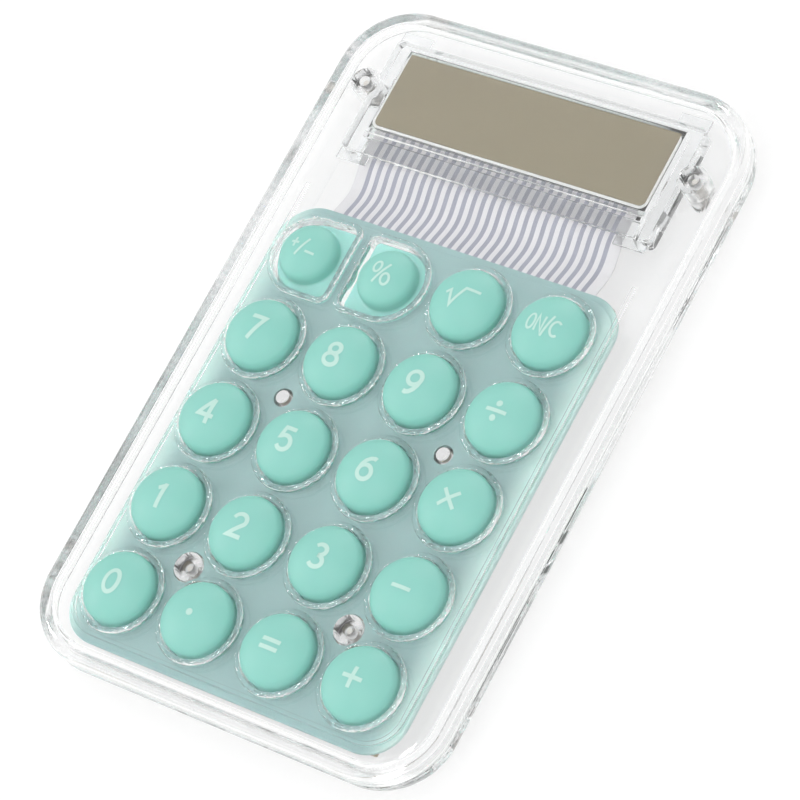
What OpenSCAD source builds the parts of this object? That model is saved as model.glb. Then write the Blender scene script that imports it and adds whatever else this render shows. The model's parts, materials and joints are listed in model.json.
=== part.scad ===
// Clear-cased pocket calculator with domed silicone keys, seen lying on its back cover.
// Frame: millimetres, +Z up through the keys, +Y toward the display, origin under the middle of the case.

/* [Case] */
// Width of the case across the keys
body_w = 70.4; // [68:0.1:76]
// Length of the case from the foot to the display end
body_l = 111.6; // [110.6:0.1:120]
// Thickness of the case without the key domes
body_t = 9.4; // [9.4:0.1:11]
// Corner radius of the case seen from above
corner_r = 11; // [9:0.1:12]
// Rounding of the top edge
top_edge_r = 2.4; // [1.5:0.1:2.8]
// Rounding of the bottom edge
bottom_edge_r = 4.4; // [3:0.1:4.5]
// Thickness of the side walls
wall = 2.2; // [2:0.1:2.3]
// Thickness of the top plate
plate_t = 1.7; // [1.4:0.1:1.8]
// Thickness of the floor of the back cover
floor_t = 1.6; // [1.5:0.1:1.8]
// Height of the back cover, up to the parting line
part_h = 4.8; // [4.7:0.1:5]
// Height of the tongue that the back cover pushes into the front cover
tongue_h = 1.2; // [0.8:0.1:1.6]
// Thickness of that tongue
tongue_t = 0.8; // [0.6:0.1:1]
// Gap between the tongue and its groove
tongue_gap = 0.1; // [0.05:0.05:0.2]

/* [Keys] */
// Distance between neighbouring keys, both ways
pitch = 14.2; // [14.1:0.05:14.4]
// Part of the case's free length that lies between the foot and the key mat
foot_part = 26; // [20:1:32]
// Part of that free length between the key mat and the display's holder, where the ribbon runs
run_part = 165; // [150:1:180]
// Part of that free length between the holder and the display end
end_part = 35; // [28:1:42]
// Radius of a round key
key_r = 5.6; // [5.2:0.05:5.7]
// Height of a round dome above the top plate
dome_h = 3.7; // [3.2:0.1:4.2]
// Radius of the dome's crown
crown_r = 8.5; // [7.5:0.1:12]
// Rounding between the crown and the key's side
shoulder_r = 1.5; // [0.8:0.1:2]
// Height of the small dome on the two half-moon keys, above the top plate
half_dome_h = 3.0; // [2.7:0.1:3.4]
// Radius of that small dome at its foot
half_dome_r = 4.6; // [4.2:0.1:4.8]
// Radius of that small dome's crown
half_crown_r = 6.8; // [6:0.1:9]
// How far the flat part of a half-moon key lies below the top of the plate
half_sink = 0.7; // [0.4:0.1:0.9]
// Rounding where the small dome rises from that flat part
half_blend_r = 0.5; // [0.3:0.05:0.55]
// Half the width of the bridge between the two half-moon keys
bridge_half = 1.6; // [1.45:0.05:1.8]
// Corner radius of the half-moon keys at that bridge
bridge_corner_r = 0.8; // [0.5:0.1:1.2]
// Gap between a key and what surrounds it
key_gap = 0.3; // [0.25:0.05:0.35]
// Width of the raised rim round each key hole
rim_w = 0.85; // [0.6:0.05:0.95]
// Height of that rim above the top plate
rim_h = 0.85; // [0.5:0.05:1]
// Rounding of the rim's outer edge
rim_round = 0.75; // [0.2:0.05:0.9]
// How far a key can be pressed
travel = 0.8; // [0.5:0.05:0.85]
// Radius of the contact foot under a key
foot_r = 2.6; // [2:0.1:3.2]
// Air left under the contact foot of a pressed key
foot_gap = 0.1; // [0.05:0.05:0.15]

/* [Key mat and circuit board] */
// How far the silicone key mat reaches past the outer keys, on its long sides
mat_side = 2.7; // [2.5:0.1:3.1]
// How far the mat reaches past the outer keys, at its ends
mat_end = 2.8; // [2.5:0.1:3.3]
// Corner radius of the key mat
mat_r = 6; // [4:0.1:7]
// Thickness of the key mat
mat_t = 1; // [0.9:0.05:1]
// Thickness of the mat's thin border
mat_border_t = 0.6; // [0.4:0.05:0.8]
// Width of that thin border
mat_border_w = 0.5; // [0.3:0.05:0.6]
// Gap between the mat and the top plate
mat_gap = 0.3; // [0.3:0.05:0.5]
// Width of the rib under the top plate that holds the mat down
mat_rib_w = 0.6; // [0.4:0.05:0.8]
// How far that rib reaches past the mat, toward the display
mat_rib_past = 2.7; // [0.5:0.1:6]
// How far the circuit board stays inside the mat's long sides
board_side = 2.9; // [2.6:0.1:3.2]
// How far the circuit board stays inside the mat's ends
board_end = 0.8; // [0.3:0.1:1.1]
// Thickness of the circuit board
board_t = 1; // [0.8:0.05:1]

/* [Posts and screws] */
// Radius of the screw bosses and of the posts below them
boss_r = 2.2; // [2:0.05:2.3]
// Distance of the display-end bosses from the side of the display's holder
top_boss_out = 1.9; // [1.7:0.1:2.5]
// Distance of the display-end bosses from the display end of the case
top_boss_inset = 13.6; // [12.8:0.1:14.3]
// Radius of the two locating pins
pin_r = 1.05; // [0.8:0.05:1.2]
// Radius of a screw's shank
screw_r = 0.85; // [0.7:0.05:0.9]
// Radius of a screw's head
screw_head_r = 1.5; // [1.3:0.05:1.6]
// Height of a screw's head
screw_head_h = 0.9; // [0.7:0.05:1]
// How deep the screw heads sit in the back cover
screw_sink = 0.7; // [0.4:0.05:0.8]
// Length of a screw's shank
screw_l = 5.3; // [4.8:0.1:5.4]

/* [Display] */
// Width of the display glass
glass_w = 48.8; // [48:0.1:49]
// Height of the upper display glass
glass_h = 13.6; // [13:0.1:13.8]
// Thickness of each display glass
glass_t = 0.8; // [0.6:0.05:0.85]
// Depth of the ledge that carries the ribbon's joint
ledge_l = 1.6; // [1.2:0.1:1.7]
// Thickness of the front polariser
polariser_t = 0.2; // [0.15:0.05:0.3]
// Distance of the front polariser's edges from the glass's edges
polariser_inset = 0.6; // [0.4:0.05:1]
// Thickness of the reflector behind the display
reflector_t = 0.25; // [0.2:0.05:0.3]
// Thickness of the holder's walls beside the display
holder_wall = 2.65; // [2.4:0.05:2.8]
// Thickness of the holder's wall behind the display
holder_end = 1.2; // [0.8:0.1:1.5]
// Width over the holder's ears
holder_w = 54.2; // [53.6:0.1:55.2]
// Width of the lip along the display's front edge
lip_w = 0.7; // [0.5:0.05:0.9]
// Corner radius of the polariser at that lip
polariser_r = 0.9; // [0.4:0.1:1.5]
// Width of the bar of the holder that covers the ribbon's joint
bar_w = 2.6; // [2.2:0.1:2.8]
// Thickness of the holder's back rails
rail_t = 0.9; // [0.7:0.05:1]
// Width of the holder's ears
ear_w = 5.2; // [4:0.1:6]
// Length of the holder's ears
ear_l = 1.6; // [1.2:0.1:1.8]
// How far the ears' tops stay below the top of the holder
ear_drop = 0.5; // [0.3:0.05:0.6]
// How far the ribbon stays inside each end of the display glass
ribbon_side = 1.2; // [0.9:0.1:2.4]
// Thickness of the ribbon
ribbon_t = 0.12; // [0.1:0.01:0.15]
// How far the ribbon sags between the display and the board
ribbon_sag = 1.3; // [0.8:0.1:1.6]
// Length of the ribbon's joint on the board
ribbon_lap = 1.8; // [1.4:0.1:2]

/* [Battery] */
// Radius of the button cell
cell_r = 5.8; // [5.6:0.05:5.8]
// Height of the button cell
cell_h = 3.05; // [2.7:0.05:3.1]
// Distance of the cell from the middle row of keys, toward the foot
cell_drop = 7.1; // [6.5:0.1:7.7]
// Length of the battery door
door_l = 24; // [23:0.1:25]
// Width of the battery door
door_w = 16; // [15.5:0.1:17]
// Thickness of the battery door
door_t = 1; // [0.9:0.05:1]
// Gap round the battery door
door_gap = 0.2; // [0.1:0.05:0.3]
// Distance between the middles of the cell and of its door
door_shift = 2.4; // [2:0.1:3]
// Distance of the door's screw from the door's end
door_screw_inset = 3; // [2.6:0.1:3.4]
// Length of the door's screw
door_screw_l = 3; // [2.4:0.1:3.2]
// Height of the door screw's head
door_screw_head_h = 0.45; // [0.35:0.05:0.5]
// Thickness of the contact strips
strip_t = 0.2; // [0.15:0.05:0.25]

/* [Electronics] */
// Radius of the drop of resin over the chip
chip_r = 4.5; // [3.5:0.1:5]
// Height of that drop
chip_h = 1.3; // [0.9:0.1:1.8]
// Distance of the chip from the middle row of keys, toward the display
chip_shift = 20; // [18:0.5:22]
// Length of the capacitor
capacitor_l = 3.2; // [2:0.1:3.6]
// Height of the capacitor
capacitor_h = 1.2; // [0.8:0.1:1.6]
// Length of each resistor
resistor_l = 2; // [1.6:0.1:3.2]
// Height of each resistor
resistor_h = 0.6; // [0.4:0.05:0.7]
// Radius of a contact pad
pad_r = 3.6; // [3:0.1:4]
// Width of a finger of a contact pad
pad_finger = 0.7; // [0.5:0.05:0.8]

/* [Hidden] */
$fn = 48;

columns = [-1.5, -0.5, 0.5, 1.5];
rows = [2, 1, 0, -1, -2];
half_moon_row = 0;
round_keys = [for (row = [0 : 4]) for (col = [0 : 3]) if (row != half_moon_row || col > 1) [col, row]];

half_w = body_w / 2;
half_l = body_l / 2;
mat_w = 3 * pitch + 2 * (key_r + mat_side);
mat_l = 4 * pitch + 2 * (key_r + mat_end);
board_w = mat_w - 2 * board_side;
board_l = mat_l - 2 * board_end;
seat = 0.05;                          // gap that lets a flat piece drop into its seat
slide = 0.1;                          // gap that lets a piece slip over another

// Holder: front ears, bar, ledge, glass, end wall, back ears; what length is left over is shared out
holder_l = 2 * ear_l + bar_w + ledge_l + glass_h + holder_end + 2 * seat;
free_l = body_l - 2 * wall - mat_l - holder_l;
free_unit = free_l / (foot_part + run_part + end_part);
grid_y = -half_l + wall + free_unit * foot_part + mat_l / 2;
holder_back = half_l - wall - free_unit * end_part - ear_l;
glass_back = holder_back - holder_end - seat;
glass_y = glass_back - glass_h;
top_boss_y = half_l - top_boss_inset;

cover_bottom = body_t - plate_t;
mat_top = cover_bottom - mat_gap;
board_top = mat_top - mat_t;
board_bottom = board_top - board_t;
hole_r = key_r + key_gap;
rim_edge_r = min(rim_round, 0.95 * rim_w, 0.95 * rim_h);
eps = 0.01;
pin_hole_r = pin_r + slide;
pin_collar_w = 0.9;                   // shoulder of a locating pin that carries the board
mat_pin_hole_r = pin_r + 0.45;        // loose, so that the soft mat never binds
boss_hole_r = boss_r + 2 * slide;
pilot_r = screw_r + 0.02;             // the thread bites into the boss
clear_r = screw_r + 2 * slide;
head_hole_r = screw_head_r + 2 * slide;
pad_h = 0.05;
post_foot = floor_t / 2;
inner_edge_r = 0.8;
rib_t = 1.2;
tip_gap = 0.6;                        // room beyond a screw's point
board_rib_inset = 4;                  // floor ribs, from the board's long sides
board_rib_short = 12;                 // floor ribs, from the board's ends
glass_rib_inset = 3;                  // floor ribs, from the display's ends

polariser_top = cover_bottom - seat;
upper_glass_top = polariser_top - polariser_t;
lower_glass_top = upper_glass_top - glass_t;
reflector_top = lower_glass_top - glass_t;
rail_top = reflector_top - reflector_t - seat;
holder_body_w = glass_w + 2 * (holder_wall + seat);
holder_r = 0.9;                       // corners of the holder
holder_rail_w = 2.2;                  // rails under the display's long edges
rail_reach = 0.6;                     // how far the front rail starts before the upper glass
ribbon_w = glass_w - 2 * ribbon_side;
top_boss_x = holder_body_w / 2 + top_boss_out;
bar_back = glass_y - ledge_l - seat;
bar_front = bar_back - bar_w;

board_y = grid_y;
step_w = mat_w - 2 * mat_border_w;
step_l = mat_l - 4 * mat_border_w;
step_r = mat_r - mat_border_w;
board_edge = board_y + board_l / 2;
ribbon_start = glass_y - seat;
ribbon_end = board_edge - ribbon_lap;
bar_floor = lower_glass_top + ribbon_t + seat;

cell_z = door_t + seat;
cell_y = grid_y - cell_drop;
cell_top = cell_z + cell_h;
cap_h = 0.25;                         // raised middle of the cell's minus side
cap_inset = 1.4;
cell_hole_r = cell_r + 2 * slide;
clip_w = 4;                           // contact strip beside the cell
clip_slot_w = clip_w + 1.8;           // slot in the well that the strip passes through
spring_w = 3;                         // contact strip on the cell's cap
cell_rim_drop = 0.5;                  // the cell's well stops this far below the cell's top
door_y = cell_y - door_shift;
door_r = 2;
door_screw_y = door_y - door_l / 2 + door_screw_inset;
door_post_r = 2;

function key_x(col) = columns[col] * pitch;
function key_y(row) = grid_y + rows[row] * pitch;

boss_spots = [[-pitch, grid_y - 1.5 * pitch], [pitch, grid_y - 1.5 * pitch],
    [-top_boss_x, top_boss_y], [top_boss_x, top_boss_y]];
board_boss_spots = [boss_spots[0], boss_spots[1]];
pin_spots = [[-pitch, grid_y + pitch / 2], [pitch, grid_y + pitch / 2]];

// ---- shared shapes ----

module at_spots(spots) {
    for (s = spots) translate([s[0], s[1], 0]) children();
}

// Rectangle with round corners
module round_rect(w, l, r) {
    square([w - 2 * r, l], center = true);
    square([w, l - 2 * r], center = true);
    for (sx = [-1, 1]) for (sy = [-1, 1]) translate([sx * (w / 2 - r), sy * (l / 2 - r)]) circle(r);
}

module round_plate(w, l, r, h) {
    linear_extrude(h) round_rect(w, l, r);
}

// Half section of a slab's edge, from the corner's centre out to the rim
module edge_section(r, h, top_r, bottom_r) {
    square([r - max(top_r, bottom_r), h]);
    if (bottom_r > 0) {
        translate([0, bottom_r]) square([r, h - top_r - bottom_r]);
        intersection() {
            translate([r - bottom_r, bottom_r]) circle(bottom_r);
            square([r, bottom_r]);
        }
    }
    if (bottom_r == 0) square([r, h - top_r]);
    if (top_r > bottom_r || bottom_r == 0) square([r - top_r, h]);
    if (top_r > 0) intersection() {
        translate([r - top_r, h - top_r]) circle(top_r);
        translate([0, h - top_r]) square([r, top_r]);
    }
}

// Sweeps a section once round the case, from the middles of its corners outward
module round_case() {
    x = half_w - corner_r;
    y = half_l - corner_r;
    for (a = [0 : 3]) {
        reach = a % 2 == 0 ? x : y;
        span = a % 2 == 0 ? y : x;
        rotate(90 * a) translate([reach, span, 0]) {
            rotate([90, 0, 0]) linear_extrude(2 * span) children();
            rotate_extrude(angle = 90) children();
        }
    }
}

// Middle of a plate of the case, inside the centres of its corners
module plate_core(z, t) {
    x = half_w - corner_r;
    y = half_l - corner_r;
    translate([-x, -y, z]) cube([2 * x, 2 * y, t]);
}

// Mirrors what is drawn for the left half over to the right one
module on_side(side) {
    if (side < 0) children();
    else mirror([1, 0, 0]) children();
}

// Outline of a half-moon key, grown outward: round on one side, straight with small corners at the bridge
module half_moon(side, grow) {
    corner = bridge_corner_r;
    on_side(side) {
        translate([-pitch / 2, 0]) circle(key_r + grow);
        translate([-pitch / 2, -key_r - grow])
            square([pitch / 2 - bridge_half - corner, 2 * (key_r + grow)]);
        translate([-pitch / 2, -key_r + corner])
            square([pitch / 2 - bridge_half + grow, 2 * (key_r - corner)]);
        for (end = [-1, 1]) translate([-bridge_half - corner, end * (key_r - corner)]) circle(corner + grow);
    }
}

// Sweeps a section along the outline of a half-moon key; the section's x is the growth outward
module round_half_moon(side) {
    corner = bridge_corner_r;
    flat_l = pitch / 2 - bridge_half - corner;
    bridge_l = 2 * (key_r - corner);
    on_side(side) {
        translate([-pitch / 2, 0, 0]) rotate(90) rotate_extrude(angle = 180) translate([key_r, 0]) children();
        translate([-pitch / 2, key_r, 0]) rotate([90, 0, 90]) linear_extrude(flat_l) children();
        translate([-bridge_half - corner, -key_r, 0]) rotate([90, 0, -90]) linear_extrude(flat_l) children();
        translate([-bridge_half, key_r - corner, 0]) rotate([90, 0, 0]) linear_extrude(bridge_l) children();
        for (end = [-1, 1]) translate([-bridge_half - corner, end * (key_r - corner), 0])
            rotate(end < 0 ? -90 : 0) rotate_extrude(angle = 90) translate([corner, 0]) children();
    }
}

module at_half_moons() {
    translate([-pitch, key_y(half_moon_row), 0]) children();
}

// ---- covers ----

// Section of the raised rim round a key; x is the distance from the key's side
module rim_section() {
    translate([key_gap - eps, -eps]) square([rim_w - rim_edge_r + eps, rim_h + eps]);
    translate([key_gap - eps, -eps]) square([rim_w + eps, rim_h - rim_edge_r + eps]);
    intersection() {
        translate([key_gap + rim_w - rim_edge_r, rim_h - rim_edge_r]) circle(rim_edge_r);
        translate([key_gap, 0]) square([rim_w, rim_h]);
    }
}

module key_openings(h) {
    for (k = round_keys) translate([key_x(k[0]), key_y(k[1]), 0]) cylinder(h = h, r = hole_r);
    at_half_moons() for (side = [-1, 1]) linear_extrude(h) half_moon(side, key_gap);
}

// Rib in the shape of a U: down both long sides of the key mat and round its foot
module mat_rib() {
    foot_y = board_y - step_l / 2;
    rib_end = board_y + mat_l / 2 + mat_rib_past;
    rib_l = rib_end - foot_y + mat_r;
    translate([0, 0, mat_top]) linear_extrude(mat_gap + eps) difference() {
        translate([0, foot_y + rib_l / 2]) round_rect(step_w, rib_l, step_r);
        translate([0, foot_y + rib_l / 2])
            round_rect(step_w - 2 * mat_rib_w, rib_l - 2 * mat_rib_w, step_r - mat_rib_w);
        translate([-mat_w, rib_end]) square([2 * mat_w, 2 * mat_r]);
    }
}

module front_cover() {
    inner_r = corner_r - wall;
    color([0.93, 0.95, 0.97, 0.35]) difference() {
        union() {
            plate_core(cover_bottom, plate_t);
            round_case() difference() {
                translate([0, part_h]) edge_section(corner_r, body_t - part_h, top_edge_r, 0);
                translate([0, part_h - 1])
                    edge_section(inner_r, cover_bottom - part_h + 1, inner_edge_r, 0);
                translate([0, part_h - 1])
                    square([inner_r + tongue_t + tongue_gap, 1 + tongue_h + tongue_gap]);
            }
            for (k = round_keys) translate([key_x(k[0]), key_y(k[1]), body_t])
                rotate_extrude() translate([key_r, 0]) rim_section();
            at_half_moons() for (side = [-1, 1]) translate([0, 0, body_t])
                round_half_moon(side) rim_section();
            at_spots(boss_spots) translate([0, 0, part_h + seat])
                cylinder(h = cover_bottom - part_h, r = boss_r);
            mat_rib();
        }
        translate([0, 0, cover_bottom - 1]) key_openings(plate_t + rim_h + 2);
        at_spots(boss_spots) translate([0, 0, part_h - 1])
            cylinder(h = screw_sink + screw_head_h + screw_l + tip_gap - part_h + 1, r = pilot_r);
    }
}

// Post that stands on the floor of the back cover
module post(top, r) {
    translate([0, 0, post_foot]) cylinder(h = top - post_foot, r = r);
}

// Pair of ribs on the floor of the back cover, along the case
module floor_ribs(x, y, l, top) {
    for (side = [-1, 1]) translate([side * x - rib_t / 2, y, post_foot]) cube([rib_t, l, top - post_foot]);
}

module back_cover() {
    inner_r = corner_r - wall;
    color([0.93, 0.95, 0.97, 0.35]) difference() {
        union() {
            plate_core(0, floor_t);
            round_case() {
                difference() {
                    edge_section(corner_r, part_h, 0, bottom_edge_r);
                    translate([0, floor_t])
                        edge_section(inner_r, part_h, 0, bottom_edge_r - floor_t);
                }
                translate([inner_r, part_h - 1]) square([tongue_t, 1 + tongue_h]);
            }
            at_spots(boss_spots) post(part_h, boss_r);
            at_spots(pin_spots) {
                post(board_bottom - seat, pin_r + pin_collar_w);
                post(cover_bottom - seat, pin_r);
            }
            floor_ribs(board_w / 2 - board_rib_inset, board_y - board_l / 2 + board_rib_short,
                board_l - 2 * board_rib_short, board_bottom - seat);
            floor_ribs(glass_w / 2 - glass_rib_inset, glass_y, glass_h, rail_top - rail_t - seat);
            translate([0, cell_y, 0]) post(cell_top - cell_rim_drop, cell_hole_r + rib_t);
            translate([0, door_screw_y, 0]) post(door_t + door_screw_l + tip_gap, door_post_r);
        }
        at_spots(boss_spots) {
            translate([0, 0, -1]) cylinder(h = part_h + 2, r = clear_r);
            translate([0, 0, -1]) cylinder(h = 1 + screw_sink + screw_head_h, r = head_hole_r);
        }
        translate([0, door_y, -1])
            round_plate(door_w + 2 * door_gap, door_l + 2 * door_gap, door_r + door_gap, 1 + door_t + seat);
        translate([0, cell_y, 0]) cylinder(h = body_t, r = cell_hole_r);
        translate([0, door_screw_y, 0]) cylinder(h = door_screw_head_h + door_screw_l + tip_gap, r = pilot_r);
        translate([-clip_slot_w / 2, cell_y + cell_r - 1, floor_t])
            cube([clip_slot_w, cell_hole_r - cell_r + rib_t + 2, body_t]);
    }
}

module battery_door() {
    color([0.93, 0.95, 0.97, 0.35]) difference() {
        translate([0, door_y, 0]) round_plate(door_w, door_l, door_r, door_t);
        translate([0, door_screw_y, -1]) cylinder(h = door_t + 2, r = clear_r);
        translate([0, door_screw_y, -1]) cylinder(h = 1 + seat + door_screw_head_h, r = head_hole_r);
    }
}

// Self-tapping screw standing on its head, with a blunt point
module screw(head_h, shank_l) {
    point_l = screw_r;
    rotate_extrude() polygon([[0, 0], [screw_head_r, 0], [screw_head_r, head_h], [screw_r, head_h],
        [screw_r, head_h + shank_l - point_l], [screw_r / 2, head_h + shank_l], [0, head_h + shank_l]]);
}

module case_screws() {
    color("silver") at_spots(boss_spots) translate([0, 0, screw_sink]) screw(screw_head_h, screw_l);
}

module door_screw() {
    color("silver") translate([0, door_screw_y, seat]) screw(door_screw_head_h, door_screw_l);
}

// ---- keypad ----

module keypad_mat() {
    color([0.66, 0.85, 0.81]) difference() {
        translate([0, board_y, board_top]) union() {
            round_plate(mat_w, mat_l, mat_r, mat_border_t);
            round_plate(step_w, step_l, step_r, mat_t);
        }
        translate([0, 0, board_top - 1]) key_openings(mat_t + 2);
        at_spots(pin_spots) translate([0, 0, board_top - 1]) cylinder(h = mat_t + 2, r = mat_pin_hole_r);
        at_spots(board_boss_spots) translate([0, 0, board_top - 1]) cylinder(h = mat_t + 2, r = boss_hole_r);
        translate([-ribbon_w / 2 - 4 * slide, ribbon_end - 4 * slide, board_top - eps])
            cube([ribbon_w + 8 * slide, mat_l, ribbon_t + slide]);
    }
}

// Half section of a domed head: crown, shoulder and straight side
module dome_section(r, crown, shoulder, top, bottom) {
    crown_z = top - crown;
    shoulder_x = r - shoulder;
    shoulder_z = crown_z + sqrt(pow(crown - shoulder, 2) - pow(shoulder_x, 2));
    tangent_x = shoulder_x * crown / (crown - shoulder);
    translate([0, bottom]) square([r, shoulder_z - bottom]);
    translate([0, shoulder_z - eps]) square([shoulder_x, shoulder + eps - 0.5 * shoulder]);
    intersection() {
        translate([shoulder_x, shoulder_z]) circle(shoulder);
        translate([0, shoulder_z - eps]) square([r, shoulder]);
    }
    intersection() {
        translate([0, crown_z]) circle(crown);
        translate([0, shoulder_z - eps]) square([tangent_x, top]);
    }
}

module contact_foot() {
    translate([0, 0, board_top + pad_h + travel + foot_gap])
        cylinder(h = 1, r = foot_r);
}

module round_key(col, row) {
    color([0.62, 0.86, 0.80]) translate([key_x(col), key_y(row), 0]) {
        rotate_extrude() dome_section(key_r, crown_r, shoulder_r, body_t + dome_h, mat_top);
        contact_foot();
    }
}

// Section of the rounding at the foot of an upright side
module blend_section(x, z, r) {
    difference() {
        translate([x - eps, z - eps]) square([r + eps, r + eps]);
        translate([x + r, z + r]) circle(r);
    }
}

module half_moon_key(side) {
    plinth_top = body_t - half_sink;
    color([0.62, 0.86, 0.80]) {
        at_half_moons() translate([0, 0, mat_top]) linear_extrude(plinth_top - mat_top) half_moon(side, 0);
        translate([key_x(side < 0 ? 0 : 1), key_y(half_moon_row), 0]) {
            rotate_extrude() {
                dome_section(half_dome_r, half_crown_r, shoulder_r, body_t + half_dome_h, plinth_top - 1);
                blend_section(half_dome_r, plinth_top, half_blend_r);
            }
            contact_foot();
        }
    }
}

module key_sign() { half_moon_key(-1); }
module key_percent() { half_moon_key(1); }
module key_root() { round_key(2, 0); }
module key_on_clear() { round_key(3, 0); }
module key_7() { round_key(0, 1); }
module key_8() { round_key(1, 1); }
module key_9() { round_key(2, 1); }
module key_divide() { round_key(3, 1); }
module key_4() { round_key(0, 2); }
module key_5() { round_key(1, 2); }
module key_6() { round_key(2, 2); }
module key_multiply() { round_key(3, 2); }
module key_1() { round_key(0, 3); }
module key_2() { round_key(1, 3); }
module key_3() { round_key(2, 3); }
module key_minus() { round_key(3, 3); }
module key_0() { round_key(0, 4); }
module key_point() { round_key(1, 4); }
module key_equals() { round_key(2, 4); }
module key_plus() { round_key(3, 4); }

// ---- electronics ----

module circuit_board() {
    color([0.30, 0.40, 0.36]) translate([0, 0, board_bottom]) difference() {
        translate([-board_w / 2, board_y - board_l / 2, 0]) cube([board_w, board_l, board_t]);
        at_spots(pin_spots) translate([0, 0, -1]) cylinder(h = board_t + 2, r = pin_hole_r);
        at_spots(board_boss_spots) translate([0, 0, -1]) cylinder(h = board_t + 2, r = boss_hole_r);
    }
}

// One interleaved pair of contact combs under a key
module contact_pad() {
    spine = 0.9;
    comb_gap = 0.3;
    reach = 2 * pad_r - spine - comb_gap;
    step = 3 * pad_finger;
    linear_extrude(pad_h) intersection() {
        circle(pad_r);
        union() {
            translate([-pad_r, -pad_r]) square([spine, 2 * pad_r]);
            for (i = [-1, 0, 1]) translate([-pad_r, i * step - pad_finger / 2]) square([reach, pad_finger]);
        }
    }
    linear_extrude(pad_h) intersection() {
        circle(pad_r);
        union() {
            translate([pad_r - spine, -pad_r]) square([spine, 2 * pad_r]);
            for (i = [-0.5, 0.5]) translate([pad_r - reach, i * step - pad_finger / 4])
                square([reach, pad_finger / 2]);
        }
    }
}

module contact_pads() {
    color("dimgray") for (row = [0 : 4]) for (col = [0 : 3])
        translate([key_x(col), key_y(row), board_top]) contact_pad();
}

// Drop of resin over the chip, a cap of a ball hanging under the board
module chip_blob() {
    ball_r = (chip_r * chip_r + chip_h * chip_h) / (2 * chip_h);
    color("black") translate([0, board_y + chip_shift, board_bottom]) rotate_extrude() intersection() {
        translate([0, ball_r - chip_h]) circle(ball_r);
        translate([0, -chip_h]) square([chip_r, chip_h]);
    }
}

module capacitor() {
    color([0.75, 0.60, 0.40]) translate([pitch / 2, board_y + pitch * 0.9, board_bottom - capacitor_h])
        cube([capacitor_l, capacitor_l / 2, capacitor_h]);
}

module resistors() {
    resistor_w = 0.6 * resistor_l;
    color("black") for (i = [0, 1])
        translate([-0.8 * pitch, board_y + 0.8 * pitch + 3 * resistor_w * i, board_bottom - resistor_h])
            cube([resistor_l, resistor_w, resistor_h]);
}

module button_cell() {
    color("silver") translate([0, cell_y, cell_z]) {
        cylinder(h = cell_h - cap_h, r = cell_r);
        cylinder(h = cell_h, r = cell_r - cap_inset);
    }
}

// Spring strip from the board down to the cell's cap
module cell_spring() {
    tongue_l = 4;
    foot_l = 7;
    color("silver") translate([-spring_w / 2, cell_y - tongue_l / 2, 0]) {
        translate([0, -foot_l, board_bottom - strip_t]) cube([spring_w, foot_l + strip_t, strip_t]);
        translate([0, 0, cell_top]) cube([spring_w, strip_t, board_bottom - cell_top]);
        translate([0, 0, cell_top]) cube([spring_w, tongue_l, strip_t]);
    }
}

// Strip from the board down beside the cell's can
module cell_clip() {
    foot_l = 3;
    color("silver") translate([-clip_w / 2, cell_y + cell_r + seat, 0]) {
        translate([0, 0, floor_t + seat]) cube([clip_w, strip_t, board_bottom - floor_t - seat]);
        translate([0, 0, board_bottom - strip_t]) cube([clip_w, foot_l, strip_t]);
    }
}

// ---- display ----

// Outline of the films on the display: square behind, round at the front lip
module film_outline() {
    w = glass_w - 2 * polariser_inset;
    l = glass_h - 2 * polariser_inset;
    translate([-w / 2, glass_y + polariser_inset]) {
        translate([0, polariser_r]) square([w, l - polariser_r]);
        translate([polariser_r, 0]) square([w - 2 * polariser_r, l]);
        for (x = [polariser_r, w - polariser_r]) translate([x, polariser_r]) circle(polariser_r);
    }
}

module display_polariser() {
    color([0.62, 0.60, 0.53]) translate([0, 0, upper_glass_top]) linear_extrude(polariser_t) film_outline();
}

module display_upper_glass() {
    color([0.8, 0.85, 0.82, 0.5]) translate([-glass_w / 2, glass_y, lower_glass_top])
        cube([glass_w, glass_h, glass_t]);
}

module display_lower_glass() {
    color([0.8, 0.85, 0.82, 0.5]) translate([-glass_w / 2, glass_y - ledge_l, reflector_top])
        cube([glass_w, glass_h + ledge_l, glass_t]);
}

module display_reflector() {
    color([0.62, 0.60, 0.53]) translate([0, 0, reflector_top - reflector_t])
        linear_extrude(reflector_t) film_outline();
}

// Slice of the holder's outline between two places along the case
module holder_slice(from, to) {
    intersection() {
        translate([0, (bar_front + holder_back) / 2])
            round_rect(holder_body_w, holder_back - bar_front, holder_r);
        translate([-holder_body_w, from]) square([2 * holder_body_w, to - from]);
    }
}

// Clear frame round the display: walls on three sides, a bar over the ribbon's joint, a lip along the
// display's front edge, two rails under the display and four ears
module display_holder() {
    rail_floor = rail_top - rail_t;
    bar_h = polariser_top - bar_floor;
    color([0.93, 0.95, 0.97, 0.35]) difference() {
        union() {
            translate([0, 0, rail_floor]) linear_extrude(polariser_top - rail_floor) difference() {
                holder_slice(bar_front, holder_back);
                translate([-glass_w / 2 - seat, bar_front - holder_r])
                    square([glass_w + 2 * seat, glass_back + seat - bar_front + holder_r]);
            }
            translate([0, 0, bar_floor]) linear_extrude(bar_h) holder_slice(bar_front, bar_back);
            translate([0, 0, bar_floor]) linear_extrude(bar_h)
                holder_slice(glass_y - seat - lip_w, glass_y - seat);
            translate([0, 0, rail_floor]) linear_extrude(rail_t) {
                holder_slice(glass_y - rail_reach, glass_y - rail_reach + holder_rail_w);
                holder_slice(holder_back - holder_rail_w, holder_back);
            }
            for (side = [-1, 1]) for (y = [bar_front - ear_l, holder_back - holder_r])
                translate([side < 0 ? -holder_w / 2 : holder_w / 2 - ear_w, y, bar_floor])
                    cube([ear_w, ear_l + holder_r, bar_h - ear_drop]);
        }
        for (side = [-1, 1]) translate([side * top_boss_x, top_boss_y, 0])
            cylinder(h = body_t * 2, r = boss_r + key_gap);
    }
}

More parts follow.
